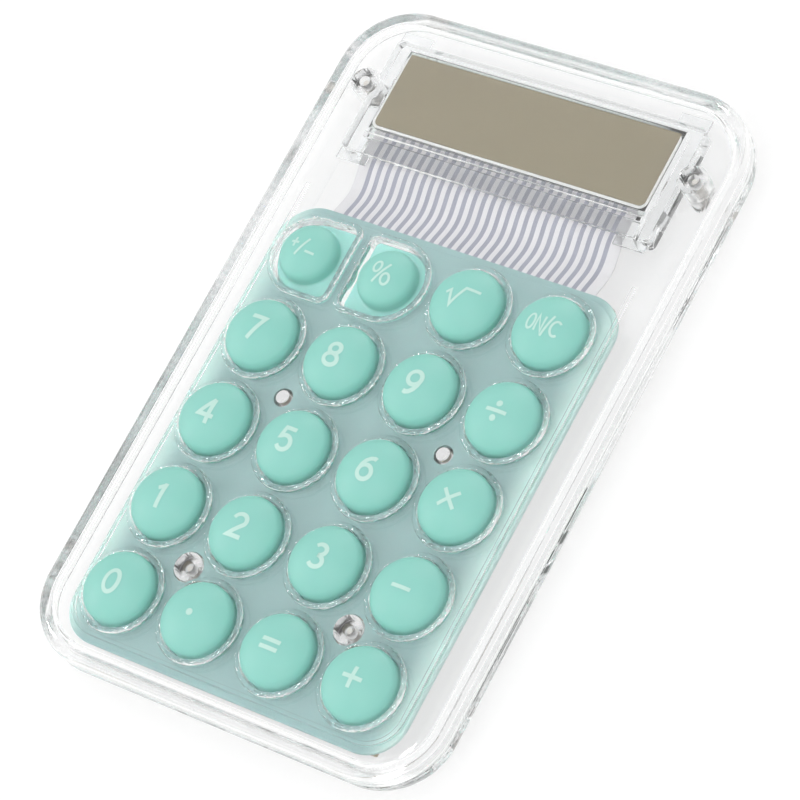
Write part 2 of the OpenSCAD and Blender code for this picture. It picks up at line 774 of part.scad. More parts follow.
// Height of the ribbon's underside along its run, 0 at the display and 1 at the board
function ribbon_z(t) = lower_glass_top + (board_top - lower_glass_top) * (3 * t * t - 2 * t * t * t)
    - ribbon_sag * pow(sin(180 * t), 2);

module ribbon_cable() {
    steps = 28;
    run_l = board_edge - bar_front;
    run = [for (i = [0 : steps]) [bar_front + run_l * i / steps, ribbon_z(i / steps)]];
    path = concat([[ribbon_start, lower_glass_top]], run, [[ribbon_end, board_top]]);
    back = [for (i = [len(path) - 1 : -1 : 0]) [path[i][0], path[i][1] + ribbon_t]];
    color([0.80, 0.80, 0.83]) translate([-ribbon_w / 2, 0, 0]) rotate([90, 0, 90])
        linear_extrude(ribbon_w) polygon(concat(path, back));
}

front_cover();
back_cover();
battery_door();
door_screw();
case_screws();
keypad_mat();
circuit_board();
contact_pads();
chip_blob();
capacitor();
resistors();
button_cell();
cell_clip();
cell_spring();
display_holder();
display_polariser();
display_upper_glass();
display_lower_glass();
display_reflector();
ribbon_cable();
key_sign();
key_percent();
key_root();
key_on_clear();
key_7();
key_8();
key_9();
key_divide();
key_4();
key_5();
key_6();
key_multiply();
key_1();
key_2();
key_3();
key_minus();
key_0();
key_point();
key_equals();
key_plus();
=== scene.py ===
"""Clear-cased pocket calculator with silicone dome keys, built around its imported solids."""

import json
import math
import random

import bmesh
import bpy
from mathutils import Matrix, Vector

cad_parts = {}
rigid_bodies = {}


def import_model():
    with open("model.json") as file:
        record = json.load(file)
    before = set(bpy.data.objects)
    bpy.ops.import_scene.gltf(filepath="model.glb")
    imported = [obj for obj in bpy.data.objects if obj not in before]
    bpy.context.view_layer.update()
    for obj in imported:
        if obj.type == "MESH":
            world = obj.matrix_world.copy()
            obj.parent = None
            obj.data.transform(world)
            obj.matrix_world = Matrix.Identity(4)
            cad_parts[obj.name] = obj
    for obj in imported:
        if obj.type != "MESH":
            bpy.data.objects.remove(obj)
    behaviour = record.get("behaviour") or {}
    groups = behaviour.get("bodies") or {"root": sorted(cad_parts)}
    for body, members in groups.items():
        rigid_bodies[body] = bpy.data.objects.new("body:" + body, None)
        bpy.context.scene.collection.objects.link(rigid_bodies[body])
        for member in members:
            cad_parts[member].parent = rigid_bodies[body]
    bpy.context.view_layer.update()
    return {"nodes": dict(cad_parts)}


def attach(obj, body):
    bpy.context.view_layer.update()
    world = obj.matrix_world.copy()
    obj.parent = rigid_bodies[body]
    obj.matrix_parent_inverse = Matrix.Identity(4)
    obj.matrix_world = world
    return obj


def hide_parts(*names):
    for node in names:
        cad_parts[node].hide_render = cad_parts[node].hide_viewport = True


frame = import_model()
scene = bpy.context.scene
MM = 0.001

# ---- sizes in millimetres; the main ones are those of the solids ----

BODY_W, BODY_L, BODY_T = 70.4, 111.6, 9.4
CORNER_R, TOP_EDGE_R, BOTTOM_EDGE_R = 11.0, 2.4, 4.4
WALL, PLATE_T, FLOOR_T = 2.2, 1.7, 1.6
PART_H, TONGUE_H, TONGUE_T, TONGUE_GAP = 4.8, 1.2, 0.8, 0.1
INNER_EDGE_R = 0.8
COVER_BOTTOM = BODY_T - PLATE_T
MAT_CLEAR, MAT_T, BOARD_T = 0.3, 1.0, 1.0
MAT_TOP = COVER_BOTTOM - MAT_CLEAR
BOARD_TOP = MAT_TOP - MAT_T
BOARD_BOTTOM = BOARD_TOP - BOARD_T
PITCH, GRID_DROP = 14.2, 15.5
KEY_R, KEY_GAP, RIM_W, RIM_H, RIM_ROUND = 5.6, 0.3, 0.85, 0.85, 0.55
RIM_EASE, RIM_SINK, RIM_ROOT = 0.28, 0.05, 0.8
HOLE_R = KEY_R + KEY_GAP
HOLE_EASE = 0.001               # keeps a hole's wall off the wall of its rim
DOME_H, CROWN_R, SHOULDER_R = 3.7, 8.5, 1.5
FOOT_R, FOOT_Z, FOOT_EASE = 2.6, BOARD_TOP + 0.95, 0.1
HALF_DOME_H, HALF_DOME_R, HALF_CROWN_R, BRIDGE_HALF = 3.0, 4.6, 6.8, 1.6
HALF_SINK, HALF_BLEND_R, PLINTH_R = 0.7, 0.5, 0.3
PLINTH_TOP = BODY_T - HALF_SINK
BRIDGE_CORNER_R, SPAN_STEPS = 0.8, 10
MAT_GAP = 0.08                  # the mat closes round the feet of the keys
BOSS_R, BOSS_ROOT, PIN_R, PIN_SHELF_W = 2.2, 0.4, 1.05, 0.9
SCREW_R, SCREW_HEAD_R, SCREW_HEAD_H, SCREW_SINK, SCREW_L = 0.85, 1.5, 0.9, 0.7, 5.3
PILOT_R, CLEAR_R = SCREW_R + 0.02, SCREW_R + 0.2
HEAD_GAP, BORE_PAST = 0.2, 0.6
SEAT = 0.05
HAIR = 0.04                     # air left between two clear pieces that touch
TOP_BOSS = (29.0, 42.2)
LOW_BOSS_Y = -1.5 * PITCH - GRID_DROP
BOSS_SPOTS = [(-PITCH, LOW_BOSS_Y), (PITCH, LOW_BOSS_Y), (-TOP_BOSS[0], TOP_BOSS[1]), TOP_BOSS]
PIN_SPOTS = [(-PITCH, PITCH / 2 - GRID_DROP), (PITCH, PITCH / 2 - GRID_DROP)]
MAT_W, MAT_L, MAT_R = 59.2, 73.6, 6.0
MAT_BORDER_W, MAT_BORDER_T = 0.5, 0.6
MAT_RIB_W, MAT_RIB_PAST, MAT_RIB_ROOT = 0.6, 2.7, 0.3
MAT_EASE, PIN_HOLE_GAP, BOSS_HOLE_GAP = 0.15, 0.45, 0.2
RELIEF_GAP, RELIEF_H = 0.4, 0.22
CAP_IN, ROUND_RUN = 0.3, 0.2    # flat ends of a wall's section, straight stretch before a round
PART_EASE_W, PART_EASE_H = 0.12, 0.2
GLASS_W, GLASS_H, GLASS_Y, GLASS_T, LEDGE_L = 48.8, 13.6, 35.4, 0.8, 1.6
BAR_W, POLARISER_T = 2.6, 0.2
BAR_FRONT = GLASS_Y - LEDGE_L - SEAT - BAR_W
LOWER_GLASS_TOP = COVER_BOTTOM - SEAT - POLARISER_T - GLASS_T
UPPER_GLASS_TOP = LOWER_GLASS_TOP + GLASS_T
FILM_INSET, FILM_R, FILM_LAP = 0.6, 0.9, 0.03
BEAD_W, BEAD_LOW, BEAD_HIGH, BEAD_EASE = 0.45, 0.01, 0.14, (0.08, 0.04)
RIBBON_W, RIBBON_T, RIBBON_SAG, RIBBON_LAP = 46.4, 0.12, 1.3, 1.8
LINE_COUNT, LINE_STEP, LINE_W, LINE_H = 28, 1.555, 0.72, 0.02
BOARD_W, BOARD_L = 53.4, 72.0
BOARD_EDGE = -GRID_DROP + BOARD_L / 2
CELL_R, CELL_H, CELL_Y = 5.8, 3.05, -22.6
CELL_Z = 1.05
CELL_HOLE_R = CELL_R + 0.2
DOOR_W, DOOR_L, DOOR_GAP, DOOR_Y = 16.0, 24.0, 0.2, -25.0
DOOR_R, DOOR_POST_R, DOOR_POST_TOP, DOOR_BORE_TOP = 2.0, 2.0, 4.6, 4.05
DOOR_SCREW_Y = DOOR_Y - DOOR_L / 2 + 3.0
WELL_WALL, WELL_DROP, SLOT_L = 1.2, 0.5, 4.0
RIB_W, BOARD_RIB_INSET, BOARD_RIB_SHORT = 1.2, 4.0, 12.0
GLASS_RIB_INSET, GLASS_RIB_TOP = 3.0, 4.55
CHIP_R, CHIP_H, CHIP_Y = 4.5, 1.3, 4.5

COLUMNS = (-1.5, -0.5, 0.5, 1.5)
ROWS = (2, 1, 0, -1, -2)
KEYS = [
    ["sign", "percent", "root", "on_clear"],
    ["7", "8", "9", "divide"],
    ["4", "5", "6", "multiply"],
    ["1", "2", "3", "minus"],
    ["0", "point", "equals", "plus"],
]


def key_spot(row, column):
    return COLUMNS[column] * PITCH, ROWS[row] * PITCH - GRID_DROP


def half_moon_side(row, column):
    """-1 or 1 for the two half-moon keys, 0 for a round one."""
    return (-1, 1)[column] if row == 0 and column < 2 else 0


# ---- making meshes ----


def finish_mesh(obj, material, sharp=32.0):
    """Smooths all but the sharp edges and gives the piece its material."""
    obj.data.materials.clear()
    obj.data.materials.append(material)
    obj.data.polygons.foreach_set("use_smooth", [True] * len(obj.data.polygons))
    obj.data.set_sharp_from_angle(angle=math.radians(sharp))
    return obj


def add_object(name, data):
    obj = bpy.data.objects.new(name, data)
    scene.collection.objects.link(obj)
    return obj


def mesh_object(name, verts, faces):
    mesh = bpy.data.meshes.new(name)
    mesh.from_pydata([tuple(c * MM for c in v) for v in verts], [], faces)
    bm = bmesh.new()
    bm.from_mesh(mesh)
    bmesh.ops.remove_doubles(bm, verts=bm.verts, dist=1e-7)
    bmesh.ops.recalc_face_normals(bm, faces=bm.faces)
    bm.to_mesh(mesh)
    bm.free()
    return add_object(name, mesh)


def skin(name, loops, closed=False):
    """Joins equal loops of points by quads; open ends are capped, or the last joins the first."""
    count = len(loops[0])
    verts = [p for loop in loops for p in loop]
    faces = []
    spans = len(loops) if closed else len(loops) - 1
    for k in range(spans):
        a, b = k * count, (k + 1) % len(loops) * count
        for i in range(count):
            j = (i + 1) % count
            faces.append((a + i, a + j, b + j, b + i))
    if not closed:
        last = (len(loops) - 1) * count
        faces.append(tuple(range(count))[::-1])
        faces.append(tuple(last + i for i in range(count)))
    return mesh_object(name, verts, faces)


def circle_loop(x, y, r, z, count=64):
    step = 2 * math.pi / count
    return [(x + r * math.cos(i * step), y + r * math.sin(i * step), z) for i in range(count)]


def turned(name, section, x=0.0, y=0.0, count=64, closed=False):
    """Turns a section of (radius, height) points about an upright axis."""
    return skin(name, [circle_loop(x, y, max(r, 1e-3), z, count) for r, z in section], closed)


def arc(cx, cz, r, start, end, steps):
    """Points on an arc, in degrees from start to end."""
    angles = [math.radians(start + (end - start) * i / steps) for i in range(steps + 1)]
    return [(cx + r * math.cos(a), cz + r * math.sin(a)) for a in angles]


def rounded_loop(w, l, r, z, y=0.0, steps=12):
    """Loop round a rectangle with round corners."""
    points = []
    for corner, (sx, sy) in enumerate(((1, 1), (-1, 1), (-1, -1), (1, -1))):
        cx, cy = sx * (w / 2 - r), sy * (l / 2 - r) + y
        for i in range(steps + 1):
            a = math.radians(90 * corner + 90 * i / steps)
            points.append((cx + r * math.cos(a), cy + r * math.sin(a), z))
    return points


def case_loop(r, z, steps=32):
    """Loop round the case at a distance r from the middles of its corners."""
    inset = 2 * (CORNER_R - r)
    return rounded_loop(BODY_W - inset, BODY_L - inset, r, z, steps=steps)


def half_moon_loop(side, grow, z, steps=14):
    """Loop round a half-moon key, grown outward all round."""
    x, y = key_spot(0, 0 if side < 0 else 1)
    corner = BRIDGE_CORNER_R
    flat_x = -PITCH + side * (BRIDGE_HALF + corner)
    arcs = [
        (x, y, KEY_R, 90, 270),
        (flat_x, y - KEY_R + corner, corner, 270, 360),
        (flat_x, y + KEY_R - corner, corner, 0, 90),
    ]
    bends = []
    for cx, cy, r, start, end in arcs:
        count = steps * 2 if end - start > 90 else steps
        bend = []
        for i in range(count + 1):
            a = math.radians(start + (end - start) * i / count)
            dx, dy = (r + grow) * math.cos(a), (r + grow) * math.sin(a)
            bend.append((cx + (dx if side < 0 else -dx), cy + dy))
        bends.append(bend)
    points = []
    for bend, following in zip(bends, bends[1:] + bends[:1]):
        points += [(px, py, z) for px, py in bend]
        (x0, y0), (x1, y1) = bend[-1], following[0]
        for i in range(1, SPAN_STEPS):
            points.append((x0 + (x1 - x0) * i / SPAN_STEPS, y0 + (y1 - y0) * i / SPAN_STEPS, z))
    return points


def box_object(name, low, high):
    x0, y0, z0 = low
    x1, y1, z1 = high
    ring = [(x0, y0), (x1, y0), (x1, y1), (x0, y1)]
    return skin(name, [[(x, y, z) for x, y in ring] for z in (z0, z1)])


def plain_mesh(obj, name):
    """Applies an object's modifiers and returns the result as a plain piece."""
    bpy.context.view_layer.update()
    graph = bpy.context.evaluated_depsgraph_get()
    mesh = bpy.data.meshes.new_from_object(obj.evaluated_get(graph))
    bpy.data.objects.remove(obj)
    return add_object(name, mesh)


def carve(obj, parts, operation):
    """Joins parts to a solid, or cuts them out of it."""
    group = bpy.data.collections.new(obj.name + "_" + operation.lower())
    scene.collection.children.link(group)
    for part in parts:
        scene.collection.objects.unlink(part)
        group.objects.link(part)
    step = obj.modifiers.new(operation.lower(), "BOOLEAN")
    step.operation = operation
    step.solver = "EXACT"
    step.operand_type = "COLLECTION"
    step.collection = group
    name = obj.name
    out = plain_mesh(obj, name)
    for part in list(group.objects):
        bpy.data.objects.remove(part)
    bpy.data.collections.remove(group)
    return out


# ---- materials ----


def new_material(name):
    material = bpy.data.materials.new(name)
    material.use_nodes = True
    tree = material.node_tree
    return material, tree, tree.nodes["Principled BSDF"]


def set_values(node, **values):
    for name, value in values.items():
        node.inputs[name.replace("_", " ")].default_value = value


def maths(tree, kind, *values):
    """Output of a maths node that is fed by numbers and sockets."""
    node = tree.nodes.new("ShaderNodeMath")
    node.operation = kind
    for i, value in enumerate(values):
        if isinstance(value, (int, float)):
            node.inputs[i].default_value = value
        else:
            tree.links.new(value, node.inputs[i])
    return node.outputs[0]


def span(tree, value, low, high, kind="LINEAR"):
    """0 where a value is at its low end or before it, 1 at its high end or past it."""
    node = tree.nodes.new("ShaderNodeMapRange")
    node.interpolation_type = kind
    node.inputs["From Min"].default_value, node.inputs["From Max"].default_value = low, high
    tree.links.new(value, node.inputs["Value"])
    return node.outputs["Result"]


def axes(tree, vector):
    """Sockets X, Y and Z of a vector."""
    split = tree.nodes.new("ShaderNodeSeparateXYZ")
    tree.links.new(vector, split.inputs[0])
    return split.outputs


def object_point(tree):
    return tree.nodes.new("ShaderNodeTexCoord").outputs["Object"]


def flatness(tree):
    """1 on faces that lie flat, 0 on faces that stand upright."""
    surface = tree.nodes.new("ShaderNodeNewGeometry")
    return maths(tree, "ABSOLUTE", axes(tree, surface.outputs["Normal"])["Z"])


def noise(tree, scale, detail):
    node = tree.nodes.new("ShaderNodeTexNoise")
    node.inputs["Scale"].default_value = scale
    node.inputs["Detail"].default_value = detail
    tree.links.new(object_point(tree), node.inputs["Vector"])
    return node.outputs["Fac"]


def blend(tree, share, first, second):
    """Colour between two, each of them a colour or a socket."""
    mix = tree.nodes.new("ShaderNodeMix")
    mix.data_type = "RGBA"
    tree.links.new(share, mix.inputs[0])
    for slot, colour in ((6, first), (7, second)):
        if isinstance(colour, tuple):
            mix.inputs[slot].default_value = (*colour, 1)
        else:
            tree.links.new(colour, mix.inputs[slot])
    return mix.outputs[2]


def paint_light_along(material, axis, start, end, colour):
    """Paints light into a material's colour: lighter along an axis, from one distance to another in
    millimetres.
    """
    tree = material.node_tree
    base = tree.nodes["Principled BSDF"].inputs["Base Color"]
    reach = maths(tree, "ABSOLUTE", axes(tree, object_point(tree))[axis])
    share = span(tree, reach, start * MM, end * MM, "SMOOTHSTEP")
    tree.links.new(blend(tree, share, base.links[0].from_socket, colour), base)


def build_grain_group():
    """Shared fine variation: a colour factor, a roughness and a bump height."""
    group = bpy.data.node_groups.new("moulded_grain", "ShaderNodeTree")
    for name, kind, value in (
        ("Patch Scale", "NodeSocketFloat", 120.0),
        ("Grain Scale", "NodeSocketFloat", 4000.0),
        ("Roughness Low", "NodeSocketFloat", 0.4),
        ("Roughness High", "NodeSocketFloat", 0.5),
    ):
        socket = group.interface.new_socket(name, in_out="INPUT", socket_type=kind)
        socket.default_value = value
    for name in ("Patch", "Roughness", "Height"):
        group.interface.new_socket(name, in_out="OUTPUT", socket_type="NodeSocketFloat")
    nodes, links = group.nodes, group.links
    start, end = nodes.new("NodeGroupInput"), nodes.new("NodeGroupOutput")
    place = object_point(group)
    patch, grain = nodes.new("ShaderNodeTexNoise"), nodes.new("ShaderNodeTexNoise")
    patch.inputs["Detail"].default_value = 4.0
    grain.inputs["Detail"].default_value = 2.0
    rough = nodes.new("ShaderNodeMapRange")
    for texture, name in ((patch, "Patch Scale"), (grain, "Grain Scale")):
        links.new(place, texture.inputs["Vector"])
        links.new(start.outputs[name], texture.inputs["Scale"])
    links.new(patch.outputs["Fac"], rough.inputs["Value"])
    links.new(start.outputs["Roughness Low"], rough.inputs["To Min"])
    links.new(start.outputs["Roughness High"], rough.inputs["To Max"])
    links.new(patch.outputs["Fac"], end.inputs["Patch"])
    links.new(rough.outputs["Result"], end.inputs["Roughness"])
    links.new(grain.outputs["Fac"], end.inputs["Height"])
    return group


GRAIN = build_grain_group()


def add_grain(tree, shader, low, high, patch=120.0, grain=4000.0, bump=0.0, shades=None):
    """Feeds a shader's roughness, bump and, with two shades, its colour from the shared grain."""
    node = tree.nodes.new("ShaderNodeGroup")
    node.node_tree = GRAIN
    node.inputs["Patch Scale"].default_value = patch
    node.inputs["Grain Scale"].default_value = grain
    node.inputs["Roughness Low"].default_value = low
    node.inputs["Roughness High"].default_value = high
    tree.links.new(node.outputs["Roughness"], shader.inputs["Roughness"])
    if bump:
        relief = tree.nodes.new("ShaderNodeBump")
        relief.inputs["Strength"].default_value = 1.0
        relief.inputs["Distance"].default_value = bump
        tree.links.new(node.outputs["Height"], relief.inputs["Height"])
        tree.links.new(relief.outputs["Normal"], shader.inputs["Normal"])
    if shades:
        tree.links.new(blend(tree, node.outputs["Patch"], *shades), shader.inputs["Base Color"])
    return node


def clear_plastic(name, tint, low=0.0, high=0.0, ior=1.49):
    """Clear polished plastic."""
    material, tree, shader = new_material(name)
    set_values(shader, Base_Color=(*tint, 1), Transmission_Weight=1.0, IOR=ior)
    add_grain(tree, shader, low, high, patch=60.0)
    return material


def plain(name, shades, low, high, metal=0.0, patch=120.0, grain=4000.0, bump=0.0, **values):
    """Material that nothing shows through, with its colour between two shades."""
    material, tree, shader = new_material(name)
    set_values(shader, Metallic=metal, **values)
    add_grain(tree, shader, low, high, patch, grain, bump, shades)
    return material


CASE_TINT, SPECK_TINT = (0.994, 0.996, 0.997), (0.84, 0.85, 0.86)
BORE_DULL, BORE_SKIN, SEAM_DULL, SEAM_H = 0.22, 0.05, 0.12, 0.08
SPECK_GRAIN, SPECK_FROM, SPECK_TO = 1500.0, 0.45, 0.58
RIM_GRAIN, RIM_RELIEF, RIM_RISE = 1700.0, 0.3, (0.02, 0.2)
CASE = clear_plastic("clear_case", CASE_TINT)


def add_case_details():
    """Uneven rims, screw bores with a dull skin, and a slightly dull seam with specks."""
    tree = CASE.node_tree
    links = tree.links
    shader = tree.nodes["Principled BSDF"]
    polished = shader.inputs["Roughness"].links[0].from_socket
    x, y, z = axes(tree, object_point(tree))
    flat = tree.nodes.new("ShaderNodeCombineXYZ")
    links.new(maths(tree, "ABSOLUTE", x), flat.inputs["X"])
    links.new(y, flat.inputs["Y"])
    gaps = []
    for spot in (BOSS_SPOTS[1], BOSS_SPOTS[3]):
        away = tree.nodes.new("ShaderNodeVectorMath")
        away.operation = "DISTANCE"
        away.inputs[1].default_value = (spot[0] * MM, spot[1] * MM, 0)
        links.new(flat.outputs[0], away.inputs[0])
        gaps.append(away.outputs["Value"])
    near = maths(tree, "LESS_THAN", maths(tree, "MINIMUM", *gaps), (CLEAR_R + BORE_SKIN) * MM)
    low, high = 1.0, COVER_BOTTOM - 0.02
    inside = maths(tree, "COMPARE", z, (low + high) / 2 * MM, (high - low) / 2 * MM)
    bore = maths(tree, "MULTIPLY", maths(tree, "MULTIPLY", near, inside), BORE_DULL)
    seam = maths(tree, "COMPARE", z, (PART_H + HAIR / 2) * MM, SEAM_H * MM)
    dull = maths(tree, "MAXIMUM", bore, maths(tree, "MULTIPLY", seam, SEAM_DULL))
    links.new(maths(tree, "MAXIMUM", polished, dull), shader.inputs["Roughness"])
    specks = span(tree, noise(tree, SPECK_GRAIN, 2.0), SPECK_FROM, SPECK_TO)
    tint = blend(tree, maths(tree, "MULTIPLY", seam, specks), CASE_TINT, SPECK_TINT)
    links.new(tint, shader.inputs["Base Color"])
    rise = span(tree, z, (BODY_T + RIM_RISE[0]) * MM, (BODY_T + RIM_RISE[1]) * MM)
    relief = tree.nodes.new("ShaderNodeBump")
    relief.inputs["Distance"].default_value = RIM_RELIEF * MM
    links.new(maths(tree, "MULTIPLY", noise(tree, RIM_GRAIN, 1.0), rise), relief.inputs["Height"])
    links.new(relief.outputs["Normal"], shader.inputs["Normal"])


add_case_details()
FRAME = clear_plastic("clear_frame", (0.97, 0.98, 0.985), 0.0, 0.02)
GLASS = clear_plastic("display_glass", (0.93, 0.96, 0.94), 0.0, 0.01, 1.52)


FLAT, STEEP = 0.8, 0.5


def dull_edges(material, amount):
    """Ground edges: faces that stand upright are dull, the flat ones stay polished."""
    tree = material.node_tree
    rough = tree.nodes["Principled BSDF"].inputs["Roughness"]
    mix = tree.nodes.new("ShaderNodeMix")
    mix.inputs[3].default_value = amount
    tree.links.new(span(tree, flatness(tree), FLAT, STEEP), mix.inputs[0])
    tree.links.new(rough.links[0].from_socket, mix.inputs[2])
    tree.links.new(mix.outputs[0], rough)


dull_edges(GLASS, 0.5)
SILICONE = plain(
    "mint_silicone", ((0.285, 0.645, 0.57), (0.31, 0.68, 0.60)), 0.5, 0.6, patch=300.0, grain=9000.0,
    bump=4e-6, Subsurface_Weight=0.4, Subsurface_Scale=0.0014, Subsurface_Radius=(0.5, 1.0, 0.8),
    Specular_IOR_Level=0.22,
)
MAT = plain(
    "mint_mat", ((0.335, 0.53, 0.525), (0.365, 0.56, 0.555)), 0.5, 0.6, patch=200.0, grain=9000.0,
    bump=3e-6, Subsurface_Weight=0.2, Subsurface_Scale=0.001, Subsurface_Radius=(0.6, 1.0, 0.9),
)
LEGEND = plain("legend_ink", ((0.49, 0.76, 0.68), (0.56, 0.81, 0.73)), 0.45, 0.55, patch=900.0)

# painted light: the mat's thin long sides and the keys' thin feet let more light through than the rest,
# so their colour is painted lighter there
paint_light_along(MAT, "X", 24.5, 29.0, (0.64, 0.87, 0.82))
paint_light_along(SILICONE, "Z", BODY_T - 0.2, BODY_T - 0.65, (0.45, 0.82, 0.76))
POLARISER = plain("display_face", ((0.264, 0.226, 0.144), (0.272, 0.234, 0.152)), 0.25, 0.35, patch=60.0)
REFLECTOR = plain("display_back", ((0.78, 0.78, 0.77), (0.84, 0.84, 0.83)), 0.4, 0.5, metal=0.3)
# painted highlight: the bead's near-white partly stands in for the bright line that light makes along
# the display's edge
SEAL_AND_PAINTED_HIGHLIGHT = plain("film_bead_and_painted_highlight", ((0.82, 0.83, 0.82), (0.88, 0.89, 0.88)), 0.4, 0.5)
FILM = plain("ribbon_film", ((0.78, 0.77, 0.79), (0.83, 0.82, 0.84)), 0.3, 0.4)
TRACE = plain("ribbon_lines", ((0.345, 0.35, 0.43), (0.38, 0.39, 0.47)), 0.35, 0.45)
STEEL = plain("screw_steel", ((0.82, 0.79, 0.75), (0.90, 0.87, 0.83)), 0.5, 0.62, metal=1.0,
              grain=12000.0, bump=2e-6)
CELL = plain("cell_steel", ((0.66, 0.66, 0.65), (0.74, 0.74, 0.73)), 0.2, 0.36, metal=1.0)
STRIP = plain("contact_strip", ((0.70, 0.68, 0.60), (0.78, 0.76, 0.68)), 0.22, 0.35, metal=1.0)
RESIN = plain("chip_resin", ((0.010, 0.010, 0.012), (0.018, 0.018, 0.020)), 0.25, 0.45,
              grain=2500.0, bump=6e-6)
CARBON = plain("carbon_ink", ((0.012, 0.012, 0.013), (0.03, 0.03, 0.032)), 0.6, 0.8)
CERAMIC = plain("capacitor_ceramic", ((0.42, 0.28, 0.14), (0.50, 0.34, 0.18)), 0.4, 0.5)
RESISTOR = plain("resistor_body", ((0.015, 0.015, 0.017), (0.03, 0.03, 0.032)), 0.35, 0.5)


def build_board_material():
    """Solder mask on the faces, bare laminate on the cut edges."""
    material, tree, shader = new_material("circuit_board")
    grain = add_grain(tree, shader, 0.3, 0.45, patch=250.0, grain=3000.0, bump=3e-6)
    mask = blend(tree, grain.outputs["Patch"], (0.055, 0.085, 0.075), (0.080, 0.115, 0.100))
    tree.links.new(blend(tree, flatness(tree), (0.40, 0.33, 0.20), mask), shader.inputs["Base Color"])
    return material


BOARD = build_board_material()

# ---- covers ----


def rim_profile():
    """Grow and height of the raised rim round a key, from its foot over its crown."""
    outer = KEY_GAP + RIM_W
    top = BODY_T + RIM_H
    crown = arc(outer - RIM_ROUND, top - RIM_ROUND, RIM_ROUND, 0, 90, 9)
    crown += arc(KEY_GAP + RIM_EASE, top - RIM_EASE, RIM_EASE, 90, 180, 5)
    return [(KEY_GAP, BODY_T - RIM_ROOT), (outer, BODY_T - RIM_ROOT)] + crown


def facet(loops, chance):
    """Moulded unevenness of a rim: its crown sinks by a little, more in some places."""
    sinks = [chance.uniform(0, RIM_SINK) for _ in loops[0]]
    out = []
    for loop in loops:
        rise = [max(0.0, z - BODY_T) / RIM_H for _, _, z in loop]
        out.append([(x, y, z - sink * share) for (x, y, z), sink, share in zip(loop, sinks, rise)])
    return out


def build_mat_rib():
    """Rib in the shape of a U that holds the mat down along its sides and its foot."""
    w, r = MAT_W - 2 * MAT_BORDER_W, MAT_R - MAT_BORDER_W
    foot_y = -GRID_DROP - MAT_L / 2 + 2 * MAT_BORDER_W
    rib_end = -GRID_DROP + MAT_L / 2 + MAT_RIB_PAST
    length = rib_end - foot_y + MAT_R
    middle = foot_y + length / 2
    levels = (MAT_TOP + HAIR, COVER_BOTTOM + MAT_RIB_ROOT)
    rib = skin("mat_rib", [rounded_loop(w, length, r, z, middle) for z in levels])
    low, high = MAT_TOP - 1, COVER_BOTTOM + 1
    both = 2 * MAT_RIB_W
    inner = [rounded_loop(w - both, length - both, r - MAT_RIB_W, z, middle) for z in (low, high)]
    end = box_object("end", (-MAT_W, rib_end, low), (MAT_W, BODY_L, high))
    return carve(rib, [skin("inner", inner), end], "DIFFERENCE")


def build_front_cover():
    edge = CORNER_R - TOP_EDGE_R
    inner = CORNER_R - WALL
    groove = inner + TONGUE_T + TONGUE_GAP
    groove_top = PART_H + TONGUE_H + TONGUE_GAP
    profile = [(edge - CAP_IN, BODY_T)] + arc(edge, BODY_T - TOP_EDGE_R, TOP_EDGE_R, 90, 0, 24)
    foot = PART_H + HAIR
    profile += [(CORNER_R, foot + PART_EASE_H), (CORNER_R - PART_EASE_W, foot)]
    profile += [(groove, foot), (groove, groove_top), (inner, groove_top)]
    profile += [(inner, COVER_BOTTOM - INNER_EDGE_R - ROUND_RUN)]
    profile += arc(inner - INNER_EDGE_R, COVER_BOTTOM - INNER_EDGE_R, INNER_EDGE_R, 0, 90, 6)
    profile += [(inner - INNER_EDGE_R - CAP_IN, COVER_BOTTOM)]
    cover = skin("front_shell", [case_loop(r, z) for r, z in profile])
    added, cut = [], []
    chance = random.Random(7)
    hole_levels = (COVER_BOTTOM - 1, BODY_T + 2)
    for row in range(5):
        for column in range(4):
            x, y = key_spot(row, column)
            side = half_moon_side(row, column)
            if side:
                rim = [half_moon_loop(side, grow, z) for grow, z in rim_profile()]
                added.append(skin("rim", facet(rim, chance), closed=True))
                hole = [half_moon_loop(side, KEY_GAP - HOLE_EASE, z) for z in hole_levels]
                cut.append(skin("hole", hole))
                continue
            rim = [circle_loop(x, y, KEY_R + grow, z, 72) for grow, z in rim_profile()]
            added.append(skin("rim", facet(rim, chance), closed=True))
            cut.append(turned("hole", [(HOLE_R - HOLE_EASE, z) for z in hole_levels], x, y, 72))
    added.append(build_mat_rib())
    for x, y in BOSS_SPOTS:
        post = [(BOSS_R, PART_H + SEAT), (BOSS_R, COVER_BOTTOM + BOSS_ROOT)]
        added.append(turned("boss", post, x, y, 40))
        bore_top = SCREW_SINK + SCREW_HEAD_H + SCREW_L + BORE_PAST
        cut.append(turned("bore", [(PILOT_R, PART_H - 1), (PILOT_R, bore_top)], x, y, 32))
    cover = carve(cover, added, "UNION")
    cover = carve(cover, cut, "DIFFERENCE")
    return finish_mesh(cover, CASE, 0.2)


